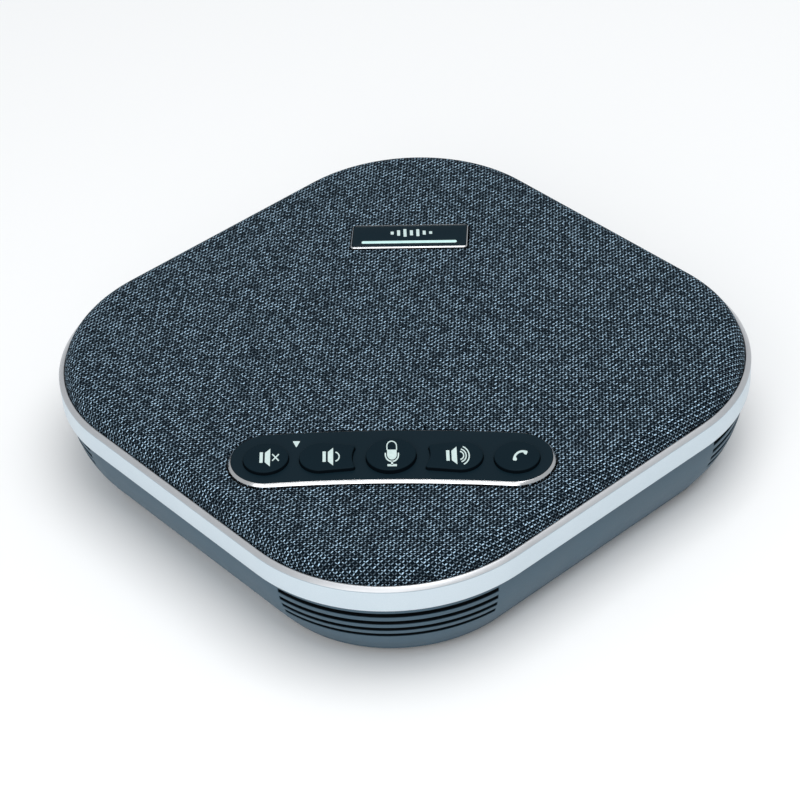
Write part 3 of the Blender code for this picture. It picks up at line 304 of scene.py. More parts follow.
def softened(outline, radius, steps=6):
    """Replace each sharp corner of a finely divided outline by a small curve."""
    count = len(outline)
    corners = []
    for number, point in enumerate(outline):
        before = point - outline[number - 1]
        after = outline[(number + 1) % count] - point
        if before.angle(after) > math.radians(30):
            corners.append(number)
    points = []
    for number, point in enumerate(outline):
        if number in corners:
            start, end = (next(outline[(number + way * step) % count] for step in range(1, count)
                               if (outline[(number + way * step) % count] - point).length > radius)
                          for way in (-1, 1))
            for step in range(steps + 1):
                share = step / steps
                points.append(start.lerp(point, share).lerp(point.lerp(end, share), share))
        elif all((point - outline[corner]).length > radius for corner in corners):
            points.append(point)
    return points


def grown(outline, amount):
    """Offset an outline outwards."""
    moved = []
    count = len(outline)
    for number, point in enumerate(outline):
        before = (point - outline[number - 1]).normalized()
        after = (outline[(number + 1) % count] - point).normalized()
        normal = Vector((before.y + after.y, -before.x - after.x)).normalized()
        stretch = max(0.5, normal.dot(Vector((after.y, -after.x))))
        moved.append(point + normal * (amount / stretch))
    return moved


# Mesh builders

def new_piece(name, shape):
    """Turn a bmesh into an object in the scene."""
    bmesh.ops.recalc_face_normals(shape, faces=shape.faces)
    data = bpy.data.meshes.new(name)
    shape.to_mesh(data)
    shape.free()
    piece = bpy.data.objects.new(name, data)
    bpy.context.scene.collection.objects.link(piece)
    return piece


def loft(name, sections, closed=False):
    """Skin matching outlines; closed joins the last outline to the first."""
    shape = bmesh.new()
    rings = [[shape.verts.new((point[0], point[1], height)) for point in outline]
             for outline, height in sections]
    count = len(rings[0])
    pairs = list(zip(rings, rings[1:]))
    if closed:
        pairs.append((rings[-1], rings[0]))
    for low, high in pairs:
        for this in range(count):
            following = (this + 1) % count
            shape.faces.new((low[this], low[following], high[following], high[this]))
    if not closed:
        shape.faces.new(list(reversed(rings[0])))
        shape.faces.new(rings[-1])
    return new_piece(name, shape)


def flat_plate(name, outlines, bottom, top):
    """Plate cut to an outline, with any further outlines as holes."""
    curve = bpy.data.curves.new(name + "_outline", "CURVE")
    curve.dimensions = "2D"
    curve.fill_mode = "BOTH"
    curve.extrude = (top - bottom) / 2
    for outline in outlines:
        spline = curve.splines.new("POLY")
        spline.points.add(len(outline) - 1)
        for point, spot in zip(spline.points, outline):
            point.co = (spot[0], spot[1], 0, 1)
        spline.use_cyclic_u = True
    drawn = bpy.data.objects.new(name, curve)
    drawn.location.z = (top + bottom) / 2
    bpy.context.scene.collection.objects.link(drawn)
    return settled(drawn)


def settled(piece):
    """Apply an object's modifiers or turn a curve into a mesh, welded and in place."""
    bpy.context.view_layer.update()
    evaluated = piece.evaluated_get(bpy.context.evaluated_depsgraph_get())
    data = bpy.data.meshes.new_from_object(evaluated)
    data.transform(piece.matrix_world)
    name = piece.name
    bpy.data.objects.remove(piece, do_unlink=True)
    shape = bmesh.new()
    shape.from_mesh(data)
    bpy.data.meshes.remove(data)
    bmesh.ops.remove_doubles(shape, verts=shape.verts, dist=0.001 * MM)
    return new_piece(name, shape)


def joined(name, pieces):
    """One object that holds several pieces' meshes."""
    shape = bmesh.new()
    for piece in pieces:
        piece.data.transform(piece.matrix_world)
        shape.from_mesh(piece.data)
        bpy.data.objects.remove(piece, do_unlink=True)
    return new_piece(name, shape)


def cut(piece, tool):
    """Cut a piece with a tool, and remove the tool."""
    step = piece.modifiers.new("cut", "BOOLEAN")
    step.operation = "DIFFERENCE"
    step.solver = "EXACT"
    step.object = tool
    piece = settled(piece)
    bpy.data.objects.remove(tool, do_unlink=True)
    return piece


def rounded(piece, width, segments=3, angle=35, clamp=True):
    """Round a piece's sharp edges."""
    step = piece.modifiers.new("edges", "BEVEL")
    step.width = width
    step.segments = segments
    step.limit_method = "ANGLE"
    step.angle_limit = math.radians(angle)
    step.use_clamp_overlap = clamp
    return settled(piece)


def shaded(piece, angle=40):
    """Shade smooth except along real edges."""
    piece.data.shade_smooth()
    piece.data.set_sharp_from_angle(angle=math.radians(angle))
    return piece


def dressed(piece, looks, body, slot, *replaced, look=None):
    """Give a piece its material, taken from a named look or else its slot, attach it to its body and
    hide the nodes that it stands for.
    """
    shaded(piece)
    piece.data.materials.clear()
    piece.data.materials.append(looks[look or slot])
    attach(piece, body)
    if replaced:
        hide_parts(*replaced)


# Material nodes

def new_look(name, colour, roughness, metallic=0.0, **settings):
    """Principled material; settings name further sockets with _ for a space."""
    look = bpy.data.materials.new(name)
    look.use_nodes = True
    shader = look.node_tree.nodes["Principled BSDF"]
    shader.inputs["Base Color"].default_value = (*colour, 1.0)
    shader.inputs["Roughness"].default_value = roughness
    shader.inputs["Metallic"].default_value = metallic
    for socket, value in settings.items():
        shader.inputs[socket.replace("_", " ")].default_value = value
    return look


def add(look, kind, values=(), **settings):
    """Add a node; values are its inputs by order, numbers or sockets, with None to skip one."""
    node = look.node_tree.nodes.new("ShaderNode" + kind)
    for name, value in settings.items():
        setattr(node, name, value)
    for socket, value in zip(node.inputs, values):
        if isinstance(value, bpy.types.NodeSocket):
            look.node_tree.links.new(value, socket)
        elif value is not None:
            socket.default_value = value
    return node


def maths(look, operation, *values):
    """Output of a Math node."""
    return add(look, "Math", values, operation=operation).outputs[0]


def times(look, first, second):
    """Product of two numbers."""
    return maths(look, "MULTIPLY", first, second)


def axes(look, vector):
    """X, Y and Z of a vector."""
    return add(look, "SeparateXYZ", (vector,)).outputs


def vectors(look, operation, *values):
    """Output of a Vector Math node."""
    return add(look, "VectorMath", values, operation=operation).outputs[0]


def places(look):
    """The piece's own coordinates, in metres."""
    return add(look, "TexCoord").outputs["Object"]


def noise(look, scale, detail=3.0, stretch=(1, 1, 1), where=None):
    """Noise value; scale counts features per metre."""
    spot = vectors(look, "MULTIPLY", where or places(look), stretch)
    node = add(look, "TexNoise")
    look.node_tree.links.new(spot, node.inputs["Vector"])
    node.inputs["Scale"].default_value = scale
    node.inputs["Detail"].default_value = detail
    return node.outputs["Fac"]


def spread(look, value, low, high, start=0.3, end=0.7):
    """Map a value between start and end to low and high, clamped."""
    return add(look, "MapRange", (value, start, end, low, high)).outputs[0]


def smooth_step(look, value, start, end):
    """Ease a value from 0 at start to 1 at end."""
    return add(look, "MapRange", (value, start, end, 0.0, 1.0),
               interpolation_type="SMOOTHSTEP").outputs[0]


def mix(look, factor, low, high):
    """Mix two colours, each a triple or a socket."""
    node = add(look, "Mix", data_type="RGBA")
    for socket, value in zip((node.inputs[0], node.inputs[6], node.inputs[7]), (factor, low, high)):
        if isinstance(value, bpy.types.NodeSocket):
            look.node_tree.links.new(value, socket)
        elif hasattr(value, "__len__"):
            socket.default_value = (*value, 1.0)
        else:
            socket.default_value = value
    return node.outputs[2]


def wire(look, socket, value):
    """Link a value to the shader."""
    look.node_tree.links.new(value, look.node_tree.nodes["Principled BSDF"].inputs[socket])


def relief(look, height, distance, strength=1.0):
    """Bump the surface by a height from 0 to 1."""
    node = add(look, "Bump")
    node.inputs["Strength"].default_value = strength
    node.inputs["Distance"].default_value = distance
    look.node_tree.links.new(height, node.inputs["Height"])
    wire(look, "Normal", node.outputs[0])


def cloudy(look, value, dark, light):
    """Colour that goes from dark to light with a noise value."""
    return mix(look, spread(look, value, 0, 1), dark, light)


def grained(look, dark, light, rough, grain, depth, patch=60.0):
    """Moulded or cast finish: soft colour patches, uneven roughness and a fine grain."""
    patches = noise(look, patch, 4.0)
    fine = noise(look, grain, 2.0)
    both = maths(look, "MULTIPLY_ADD", fine, 0.4, times(look, patches, 0.6))
    wire(look, "Base Color", cloudy(look, both, dark, light))
    wire(look, "Roughness", spread(look, patches, *rough))
    relief(look, fine, depth)
    return look


def paint_wall_shade(look):
    """Painted shade on the upright walls of a piece: near-black colour and weaker specular there,
    with its top left as it is.
    """
    socket = look.node_tree.nodes["Principled BSDF"].inputs["Base Color"]
    top = socket.links[0].from_socket
    lift = axes(look, add(look, "NewGeometry").outputs["Normal"])[2]
    # painted shade: near-black colour and weaker specular where the surface faces sideways
    painted_wall_shade = smooth_step(look, lift, 0.75, 0.25)
    wire(look, "Base Color", mix(look, painted_wall_shade, top, (0.003, 0.006, 0.009)))
    wire(look, "Specular IOR Level", spread(look, painted_wall_shade, 0.06, 0.02, 0, 1))


def paint_slot_shade(look):
    """Painted shade behind the outer skin of the corners: the walls inside the vent slots are made
    near-black.
    """
    socket = look.node_tree.nodes["Principled BSDF"].inputs["Base Color"]
    skin = socket.links[0].from_socket
    east, north, height = axes(look, places(look))
    east = maths(look, "ABSOLUTE", east)
    north = maths(look, "ABSOLUTE", north)
    out = maths(look, "SUBTRACT", maths(look, "MAXIMUM", east, north), CORNER_C)
    aside = maths(look, "MINIMUM", east, north)
    reach = maths(look, "SQRT", maths(look, "ADD", times(look, out, out),
                                      times(look, aside, aside)))
    tall = HOUSING_HIGH.z - HOUSING_LOW.z
    below = maths(look, "MAXIMUM", maths(look, "SUBTRACT", HOUSING_HIGH.z, height), 0.0)
    down = maths(look, "DIVIDE", below, tall)
    down = maths(look, "POWER", down, TAPER_POWER)
    inset = maths(look, "MULTIPLY_ADD", down, TAPER_DEPTH, OVERHANG)
    depth = maths(look, "SUBTRACT", maths(look, "SUBTRACT", CORNER_R, inset), reach)
    # painted shade: near-black colour on faces that lie inside the vent slots
    behind = smooth_step(look, depth, 0.1 * MM, 0.3 * MM)
    wire(look, "Base Color", mix(look, behind, skin, (0.003, 0.005, 0.007)))


def weave_look():
    """Plain weave of near-black yarns with pale slanted flecks, laid out on the flat cloth."""
    look = new_look("woven_cloth", (0.004, 0.008, 0.013), 0.85, Specular_IOR_Level=0.05)
    cloth = add(look, "Attribute", attribute_name="cloth_place").outputs["Vector"]
    wander = add(look, "TexNoise")
    look.node_tree.links.new(cloth, wander.inputs["Vector"])
    wander.inputs["Scale"].default_value = 600.0
    wander.inputs["Detail"].default_value = 3.0
    centred = vectors(look, "SUBTRACT", wander.outputs["Color"], (0.5, 0.5, 0.5))
    drift = vectors(look, "SCALE", centred)
    drift.node.inputs["Scale"].default_value = DRIFT
    yarns = vectors(look, "ADD", vectors(look, "DIVIDE", cloth, (YARN_X, YARN_Y, 1.0)), drift)
    cell = vectors(look, "FLOOR", yarns)
    inside = vectors(look, "SUBTRACT", vectors(look, "FRACTION", yarns), (0.5, 0.5, 0.5))
    column, row, _ = axes(look, cell)
    odd = maths(look, "FLOORED_MODULO", maths(look, "ADD", column, row), 2.0)
    even = maths(look, "LESS_THAN", odd, 0.5)
    chance = add(look, "TexWhiteNoise", (cell,), noise_dimensions="2D")
    bright = maths(look, "POWER", spread(look, chance.outputs["Value"], 0.3, 1.1, 0.0, 1.0), 1.8)
    rise_tuft, rise_off = tuft(look, inside, RISE_LEAN, RISE_SIZE, (0.0, 0.0, 0.0))
    fall_tuft, fall_off = tuft(look, inside, FALL_LEAN, FALL_SIZE, FALL_SHIFT)
    fall_tuft = times(look, fall_tuft, FALL_SHARE)
    fleck = maths(look, "ADD", times(look, even, rise_tuft),
                  times(look, maths(look, "SUBTRACT", 1.0, even), fall_tuft))
    strand = noise(look, 1.0, 2.0, (1 / (6 * MM), 1 / (0.6 * MM), 0), cloth)
    fleck = times(look, times(look, fleck, bright), spread(look, strand, 0.75, 1.2))
    fibre = noise(look, 9000.0, 2.0)
    fleck = times(look, fleck, spread(look, fibre, 0.7, 1.2))
    base = cloudy(look, strand, (0.0010, 0.0035, 0.0065), (0.003, 0.008, 0.014))
    wire(look, "Base Color", mix(look, fleck, base, (0.56, 0.80, 1.0)))
    low = maths(look, "MINIMUM", maths(look, "ADD", rise_off, times(look, odd, 0.4)),
                maths(look, "ADD", fall_off, times(look, even, 0.4)))
    height = maths(look, "SUBTRACT", 1.0, maths(look, "MINIMUM", low, 1.3))
    relief(look, maths(look, "MULTIPLY_ADD", fibre, 0.3, height), 0.14 * MM, 0.8)
    wire(look, "Roughness", spread(look, strand, 0.78, 0.92))
    return look


def tuft(look, inside, lean, size, shift):
    """Slanted oval in a cell of the weave: how much of it shows, and how far off it a point is."""
    spot = vectors(look, "SUBTRACT", inside, shift)
    across, up, _ = axes(look, spot)
    lean = math.radians(lean)
    long_way = maths(look, "ADD", times(look, across, math.sin(lean)),
                     times(look, up, math.cos(lean)))
    short_way = maths(look, "SUBTRACT", times(look, across, math.cos(lean)),
                      times(look, up, math.sin(lean)))
    off = maths(look, "ADD", maths(look, "POWER", maths(look, "DIVIDE", long_way, size[0]), 2.0),
                maths(look, "POWER", maths(look, "DIVIDE", short_way, size[1]), 2.0))
    return smooth_step(look, off, 1.1, 0.25), off


def satin_look():
    """Pale silver lacquer; the lip and the lower edge are cut bright, with a painted shade line
    under the lip that stands for a groove.
    """
    look = new_look("satin_silver", (0.60, 0.69, 0.76), 0.34, 0.25)
    flake = noise(look, 5200.0, 1.0)
    cloud = noise(look, 38.0, 4.0)
    tone = cloudy(look, cloud, (0.58, 0.68, 0.75), (0.63, 0.72, 0.78))
    face = mix(look, spread(look, flake, 0.0, 0.3, 0.35, 0.75), tone, (0.75, 0.82, 0.87))
    height = axes(look, places(look))[2]
    lip = maths(look, "GREATER_THAN", height, RING_HIGH.z - LIP_DROP)
    edge = maths(look, "LESS_THAN", height, RING_LOW.z + RING_EDGE)
    bright = maths(look, "MAXIMUM", lip, edge)
    polish = cloudy(look, cloud, (0.60, 0.61, 0.63), (0.65, 0.66, 0.68))
    # painted shade of a groove: a dark band just under the lip
    above = maths(look, "GREATER_THAN", height, RING_HIGH.z - LIP_DROP - RING_GROOVE_SHADE)
    groove_shade = times(look, maths(look, "SUBTRACT", 1.0, lip), above)
    face = mix(look, groove_shade, face, (0.40, 0.48, 0.54))
    wire(look, "Base Color", mix(look, bright, face, polish))
    satin = spread(look, noise(look, 120.0, 5.0), 0.30, 0.42)
    cut = spread(look, noise(look, 300.0, 3.0), 0.36, 0.42)
    wire(look, "Roughness", add(look, "MapRange", (bright, 0.0, 1.0, satin, cut)).outputs[0])
    wire(look, "Metallic", spread(look, bright, 0.25, 0.7, 0, 1))
    relief(look, flake, 0.004 * MM, 0.5)
    return look


def chrome_look():
    """Bright plating with faint cloudy wear; the narrow top where it meets the panel is painted
    near-black, a painted dark reflection.
    """
    look = new_look("bright_plating", (0.80, 0.81, 0.82), 0.2, 1.0)
    cloud = noise(look, 260.0, 4.0)
    plating = cloudy(look, cloud, (0.78, 0.79, 0.80), (0.84, 0.84, 0.84))
    lift = axes(look, add(look, "NewGeometry").outputs["Normal"])[2]
    # painted dark reflection on the flat top, where the normal points up
    top = smooth_step(look, lift, 0.80, 0.95)
    wire(look, "Base Color", mix(look, top, plating, (0.02, 0.03, 0.04)))
    wire(look, "Roughness", spread(look, cloud, 0.18, 0.24))
    relief(look, cloud, 0.002 * MM, 0.3)
    return look


def thread_waves(look, pitch):
    """Sine waves along X, Y and Z, one turn for each thread."""
    spot = vectors(look, "MULTIPLY", places(look), (1 / pitch,) * 3)
    return [maths(look, "SINE", times(look, axis, 2 * math.pi)) for axis in axes(look, spot)]


def mesh_look():
    """Black acoustic mesh: a grid of fine threads."""
    look = new_look("acoustic_mesh", (0.012, 0.014, 0.017), 0.7)
    waves = thread_waves(look, 0.45 * MM)
    threads = times(look, maths(look, "ADD", waves[0], waves[1]), waves[2])
    shine = spread(look, threads, 0, 1, 0.2, 1.2)
    wire(look, "Base Color", mix(look, shine, (0.004, 0.005, 0.007), (0.035, 0.045, 0.055)))
    wire(look, "Roughness", spread(look, noise(look, 300.0), 0.6, 0.8))
    relief(look, threads, 0.06 * MM)
    return look


def glow_look():
    """Milky light guide, lit from below and brighter over its two lamps."""
    look = new_look("lit_guide", (0.55, 0.80, 0.78), 0.35, Emission_Strength=0.15)
    east = axes(look, places(look))[0]
    end = smooth_step(look, maths(look, "ABSOLUTE", east), 10.9 * MM, 11.4 * MM)
    cloud = noise(look, 700.0, 3.0)
    tone = cloudy(look, cloud, (0.50, 0.76, 0.74), (0.60, 0.84, 0.81))
    wire(look, "Base Color", tone)
    wire(look, "Emission Color", mix(look, end, tone, (0.85, 1.0, 0.98)))
    wire(look, "Roughness", spread(look, cloud, 0.3, 0.42))
    relief(look, cloud, 0.01 * MM)
    return look


def ink_look():
    """Pale printed ink, slightly uneven."""
    look = new_look("pale_ink", (0.60, 0.74, 0.72), 0.55)
    cloud = noise(look, 1500.0, 3.0)
    wire(look, "Base Color", cloudy(look, cloud, (0.55, 0.69, 0.67), (0.68, 0.81, 0.79)))
    wire(look, "Roughness", spread(look, cloud, 0.45, 0.62))
    relief(look, cloud, 0.004 * MM)
    return look


def board_look():
    """Green solder mask over copper tracks and pads."""
    look = new_look("circuit_board", (0.02, 0.12, 0.06), 0.4)
    cells = add(look, "TexVoronoi", feature="DISTANCE_TO_EDGE", distance="MANHATTAN")
    look.node_tree.links.new(places(look), cells.inputs["Vector"])
    cells.inputs["Scale"].default_value = 420.0
    track = smooth_step(look, cells.outputs["Distance"], 0.14, 0.06)
    pads = add(look, "TexVoronoi", feature="F1")
    look.node_tree.links.new(places(look), pads.inputs["Vector"])
    pads.inputs["Scale"].default_value = 260.0
    pad = smooth_step(look, pads.outputs["Distance"], 0.16, 0.12)
    mask = mix(look, track, (0.010, 0.075, 0.035), (0.025, 0.15, 0.07))
    wire(look, "Base Color", mix(look, pad, mask, (0.72, 0.55, 0.28)))
    wire(look, "Roughness", spread(look, pad, 0.42, 0.28, 0, 1))
    wire(look, "Metallic", pad)
    relief(look, maths(look, "MAXIMUM", track, pad), 0.03 * MM)
    return look


def coil_look():
    """Close turns of enamelled copper wire, with painted shade in the grooves between turns."""
    look = new_look("copper_turns", (0.72, 0.36, 0.17), 0.32, 0.9)
    height = axes(look, places(look))[2]
    wave = maths(look, "SINE", times(look, height, math.pi / (0.25 * MM)))
    turn = maths(look, "ABSOLUTE", wave)
    # painted shade: dark copper in the grooves between turns, bright copper on their crowns
    wire(look, "Base Color", mix(look, turn, (0.30, 0.12, 0.05), (0.80, 0.43, 0.21)))
    wire(look, "Roughness", spread(look, noise(look, 800.0), 0.25, 0.42))
    relief(look, turn, 0.08 * MM)
    return look


def spider_look():
    """Resin-stiffened open weave."""
    look = new_look("spider_cloth", (0.55, 0.42, 0.22), 0.8)
    threads = times(look, *thread_waves(look, 0.6 * MM)[:2])
    shine = spread(look, threads, 0, 1, -0.6, 0.6)
    wire(look, "Base Color", mix(look, shine, (0.30, 0.20, 0.09), (0.66, 0.50, 0.27)))
    wire(look, "Roughness", spread(look, noise(look, 200.0), 0.7, 0.88))
    relief(look, threads, 0.1 * MM)
    return look


def steel_look():
    """Plated steel with drawn lines."""
    look = new_look("plated_steel", (0.55, 0.56, 0.57), 0.35, 1.0)
    drawn = noise(look, 500.0, 4.0, (1, 12, 1))
    wire(look, "Base Color", cloudy(look, drawn, (0.46, 0.47, 0.48), (0.63, 0.64, 0.65)))
    wire(look, "Roughness", spread(look, drawn, 0.26, 0.44))
    relief(look, drawn, 0.01 * MM)
    return look


def make_looks():
    """One material for each material slot of the record, and one for printed signs."""
    looks = {
        "fabric": weave_look(),
        "satin_silver": satin_look(),
        "chrome_trim": chrome_look(),
        "vent_mesh": mesh_look(),
        "light_guide": glow_look(),
        "circuit_board": board_look(),
        "copper_coil": coil_look(),
        "spider_cloth": spider_look(),
        "plated_steel": steel_look(),
        "ink": ink_look()}
    for slot, colour, rough, sockets, *finish in GRAINED:
        looks[slot] = grained(new_look(slot, colour, rough, **sockets), *finish)
    # painted shade inside the housing's vent slots
    paint_slot_shade(looks["housing_plastic"])
    # painted shade on the upright walls of the keys
    paint_wall_shade(looks["key_plastic"])
    return looks


# Housing

def housing_inset(height):
    """How far the housing's outer face is drawn in at a height."""
    down = max(0.0, HOUSING_HIGH.z - height) / (HOUSING_HIGH.z - HOUSING_LOW.z)
    return OVERHANG + TAPER_DEPTH * down ** TAPER_POWER


def vent_top(number):
    """Upper edge of a vent slot, counted down from the rim."""
    return HOUSING_HIGH.z - VENT_TOP_LAND - number * VENT_PITCH


def vent_cutter(facing, number):
    """Curved bar that cuts one slot."""
    centre = Vector((math.cos(facing), math.sin(facing))) * CORNER_C
    start = facing - VENT_HALF_ANGLE
    end = facing + VENT_HALF_ANGLE
    rim = arc(CORNER_R + WALL, centre, start, end, VENT_STEPS)
    bore = arc(CORNER_R - WALL - OVERHANG - TAPER_DEPTH, centre, end, start, VENT_STEPS)
    return flat_plate("vent_cutter", [rim + bore], vent_top(number) - VENT_H, vent_top(number))


def port_cutter():
    """Opening for the USB-C plug."""
    low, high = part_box("usb_c_receptacle")
    tall = high.z - low.z + 2 * OPENING_GAP
    outline = rounded_rectangle(PORT_W, tall, tall * PORT_ROUND)
    tool = loft("port_cutter", [(outline, -PORT_CUT), (outline, PORT_CUT)])
    reach = FLAT - housing_inset((low.z + high.z) / 2)
    turn = Matrix.Rotation(PORT_SIDE + math.pi / 2, 4, "Z") @ Matrix.Rotation(math.pi / 2, 4, "X")
    spot = (reach * math.cos(PORT_SIDE), reach * math.sin(PORT_SIDE), (low.z + high.z) / 2)
    tool.data.transform(Matrix.Translation(spot) @ turn)
    return tool


def make_housing(looks):
    """Tapered bowl with its vents and port, the mesh behind the vents, and the rubber foot."""
    bottom = HOUSING_LOW.z
    edge_top = bottom + BASE_EDGE
    base = housing_inset(edge_top)
    levels = [edge_top + (HOUSING_HIGH.z - edge_top) * step / TAPER_LEVELS
              for step in range(TAPER_LEVELS + 1)]
    foot_low, foot_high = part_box("rubber_foot")
    groove = foot_high.z + FOOT_GAP
    outer_foot = FOOT_INSET - FOOT_GAP
    inner_foot = FOOT_INSET + FOOT_WIDTH + FOOT_GAP
    sections = [(body_outline(inner_foot), bottom), (body_outline(inner_foot), groove),
                (body_outline(outer_foot), groove), (body_outline(outer_foot), bottom)]
    for step in range(BASE_STEPS + 1):
        turn = math.pi / 2 * step / BASE_STEPS
        sections.append((body_outline(base + BASE_DRAW * (1 - math.sin(turn))),
                         edge_top - BASE_EDGE * math.cos(turn)))
    sections += [(body_outline(housing_inset(z)), z) for z in levels[1:]]
    sections += [(body_outline(housing_inset(z) + WALL), z) for z in reversed(levels)
                 if z > bottom + FLOOR_T + BASE_EDGE]
    sections.append((body_outline(base + WALL + BASE_DRAW), bottom + FLOOR_T))
    housing = loft("lower_housing_shell", sections)
    cutters = [vent_cutter(facing, number) for facing in CORNERS for number in range(VENT_COUNT)]
    housing = cut(housing, joined("vent_cutters", cutters + [port_cutter()]))
    dressed(housing, looks, "casing", "housing_plastic", "lower_housing")
    low = vent_top(VENT_COUNT - 1) - VENT_H - MESH_LAP
    high = min(vent_top(0) + MESH_LAP, HOUSING_HIGH.z - MESH_GAP)
    for name, facing in zip(CORNER_NAMES, CORNERS):
        make_vent_strip(name, facing, low, high, looks)
    foot = loft("foot_ring", [
        (body_outline(FOOT_INSET + FOOT_EDGE), foot_low.z),
        (body_outline(FOOT_INSET), foot_low.z + FOOT_EDGE),
        (body_outline(FOOT_INSET), foot_high.z),
        (body_outline(FOOT_INSET + FOOT_WIDTH), foot_high.z),
        (body_outline(FOOT_INSET + FOOT_WIDTH), foot_low.z + FOOT_EDGE),
        (body_outline(FOOT_INSET + FOOT_WIDTH - FOOT_EDGE), foot_low.z)], closed=True)
    dressed(rounded(foot, FOOT_ROUND), looks, "casing", "black_rubber", "rubber_foot")


def make_vent_strip(name, facing, low, high, looks):
    """Mesh strip that lines one corner's slots."""
    centre = Vector((math.cos(facing), math.sin(facing))) * CORNER_C
    span = VENT_HALF_ANGLE + VENT_LAP_ANGLE
    shape = bmesh.new()
    bmesh.ops.create_grid(shape, x_segments=VENT_STEPS, y_segments=MESH_ROWS, size=1.0)
    for vert in shape.verts:
        turn = facing + vert.co.x * span
        height = low + (high - low) * (vert.co.y + 1) / 2
        reach = CORNER_R - housing_inset(height) - WALL - MESH_GAP - MESH_T / 2
        vert.co = (centre.x + reach * math.cos(turn), centre.y + reach * math.sin(turn), height)
    strip = new_piece("vent_strip_" + name, shape)
    thicken = strip.modifiers.new("thickness", "SOLIDIFY")
    thicken.thickness = MESH_T
    thicken.offset = 0.0
    dressed(settled(strip), looks, "casing", "vent_mesh", "vent_mesh_" + name)


def make_trim_ring(looks):
    """Satin ring with its sloped lip and inner shelf."""
    bottom, top = RING_LOW.z, RING_HIGH.z
    inner = COVER_INSET - OPENING_GAP
    shelf = COVER_LOW.z - OPENING_GAP
    sections = [
        (body_outline(RING_EDGE), bottom),
        (body_outline(0.0), bottom + RING_EDGE),
        (body_outline(0.0), top - LIP_DROP),
        (body_outline(LIP_WIDTH), top),
        (body_outline(inner), top),
        (body_outline(inner), shelf),
        (body_outline(inner + SHELF_W), shelf),
        (body_outline(inner + SHELF_W), shelf - SHELF_T),
        (body_outline(OVERHANG + WALL), bottom)]
    ring = rounded(loft("trim_ring_band", sections, closed=True), RING_ROUND, 2, 30)
    dressed(ring, looks, "casing", "satin_silver", "trim_ring")


# Cover

def inset_at(spot):
    """Inset from the ring's outline at a point, and the direction outwards."""
    turn = Matrix.Rotation(-math.pi / 4, 2)
    turned = turn @ Vector((spot[0], spot[1]))
    core = FLAT - CORNER_R
    out = Vector((abs(turned.x) - core, abs(turned.y) - core))
    corner = Vector((max(out.x, 0.0), max(out.y, 0.0)))
    inset = CORNER_R - corner.length - min(max(out.x, out.y), 0.0)
    if corner.length < 1e-9:
        way = Vector((1.0, 0.0)) if out.x > out.y else Vector((0.0, 1.0))
    else:
        way = corner.normalized()
    way = Vector((math.copysign(way.x, turned.x), math.copysign(way.y, turned.y)))
    return inset, turn.inverted() @ way


def cloth_place(point):
    """Where a point of the cover lies on the flat cloth before it was wrapped."""
    inset, way = inset_at(point)
    out = ROLL_INSET - inset
    if out <= 0:
        return Vector((point[0], point[1], 0.0))
    if point[2] > ROLL_Z:
        gone = ROLL_R * math.atan2(out, point[2] - ROLL_Z)
    else:
        gone = ROLL_R * math.pi / 2 + ROLL_Z - point[2]
    return Vector((point[0] + way.x * (gone - out), point[1] + way.y * (gone - out), 0.0))


def make_cover(looks):
    """Cloth wrapped over the grille plate, open at the keypad and the badge."""
    scales = [1 - DOME_SPAN * (step / DOME_STEPS) for step in range(1, DOME_STEPS + 1)]

    def skin(radius):
        rows = [(body_outline(ROLL_INSET - radius), COVER_LOW.z)]
        for step in range(ROLL_STEPS + 1):
            turn = math.pi / 2 * step / ROLL_STEPS
            rows.append((body_outline(ROLL_INSET - radius * math.cos(turn)),
                         ROLL_Z + radius * math.sin(turn)))
        for scale in scales:
            rows.append((body_outline(ROLL_INSET, scale),
                         ROLL_Z + radius + DOME_RISE * (1 - scale ** 2)))
        return rows

    cover = loft("woven_cover", list(reversed(skin(ROLL_R - CLOTH_T))) + skin(ROLL_R))
    opening = rounded_rectangle(BADGE_W + 2 * OPENING_GAP, BADGE_D + 2 * OPENING_GAP,
                                BADGE_R + OPENING_GAP, (0, BADGE_Y))
    tools = [flat_plate(name, [outline], COVER_Z - OPENING_CUT, COVER_Z + OPENING_CUT)
             for name, outline in (("keypad_opening", keypad_outline(OPENING_GAP)),
                                   ("badge_opening", opening))]
    cover = cut(cover, joined("openings", tools))
    cover = rounded(cover, CLOTH_EDGE, 3, 60, False)
    spots = cover.data.attributes.new("cloth_place", "FLOAT_VECTOR", "POINT")
    spots.data.foreach_set("vector", [number for vert in cover.data.vertices
                                      for number in cloth_place(vert.co)])
    dressed(cover, looks, "casing", "fabric", "fabric_cover")


# Keypad

def key_outlines():
    """Each key's name, outline and middle."""
    side_y = KEYPAD_Y + SIDE_KEY_Y
    mic_y = KEYPAD_Y + MIC_KEY_Y
    volume_y = KEYPAD_Y + VOLUME_KEY_Y
    return [
        ("speaker_mute", circle(SIDE_KEY_R, (-SIDE_KEY_X, side_y)), (-SIDE_KEY_X, side_y)),
        ("volume_down", volume_outline(-1), (-VOLUME_KEY_X, volume_y)),
        ("microphone_mute", circle(MIC_KEY_R, (0, mic_y)), (0, mic_y)),
        ("volume_up", volume_outline(1), (VOLUME_KEY_X, volume_y)),
        ("call", circle(SIDE_KEY_R, (SIDE_KEY_X, side_y)), (SIDE_KEY_X, side_y))]


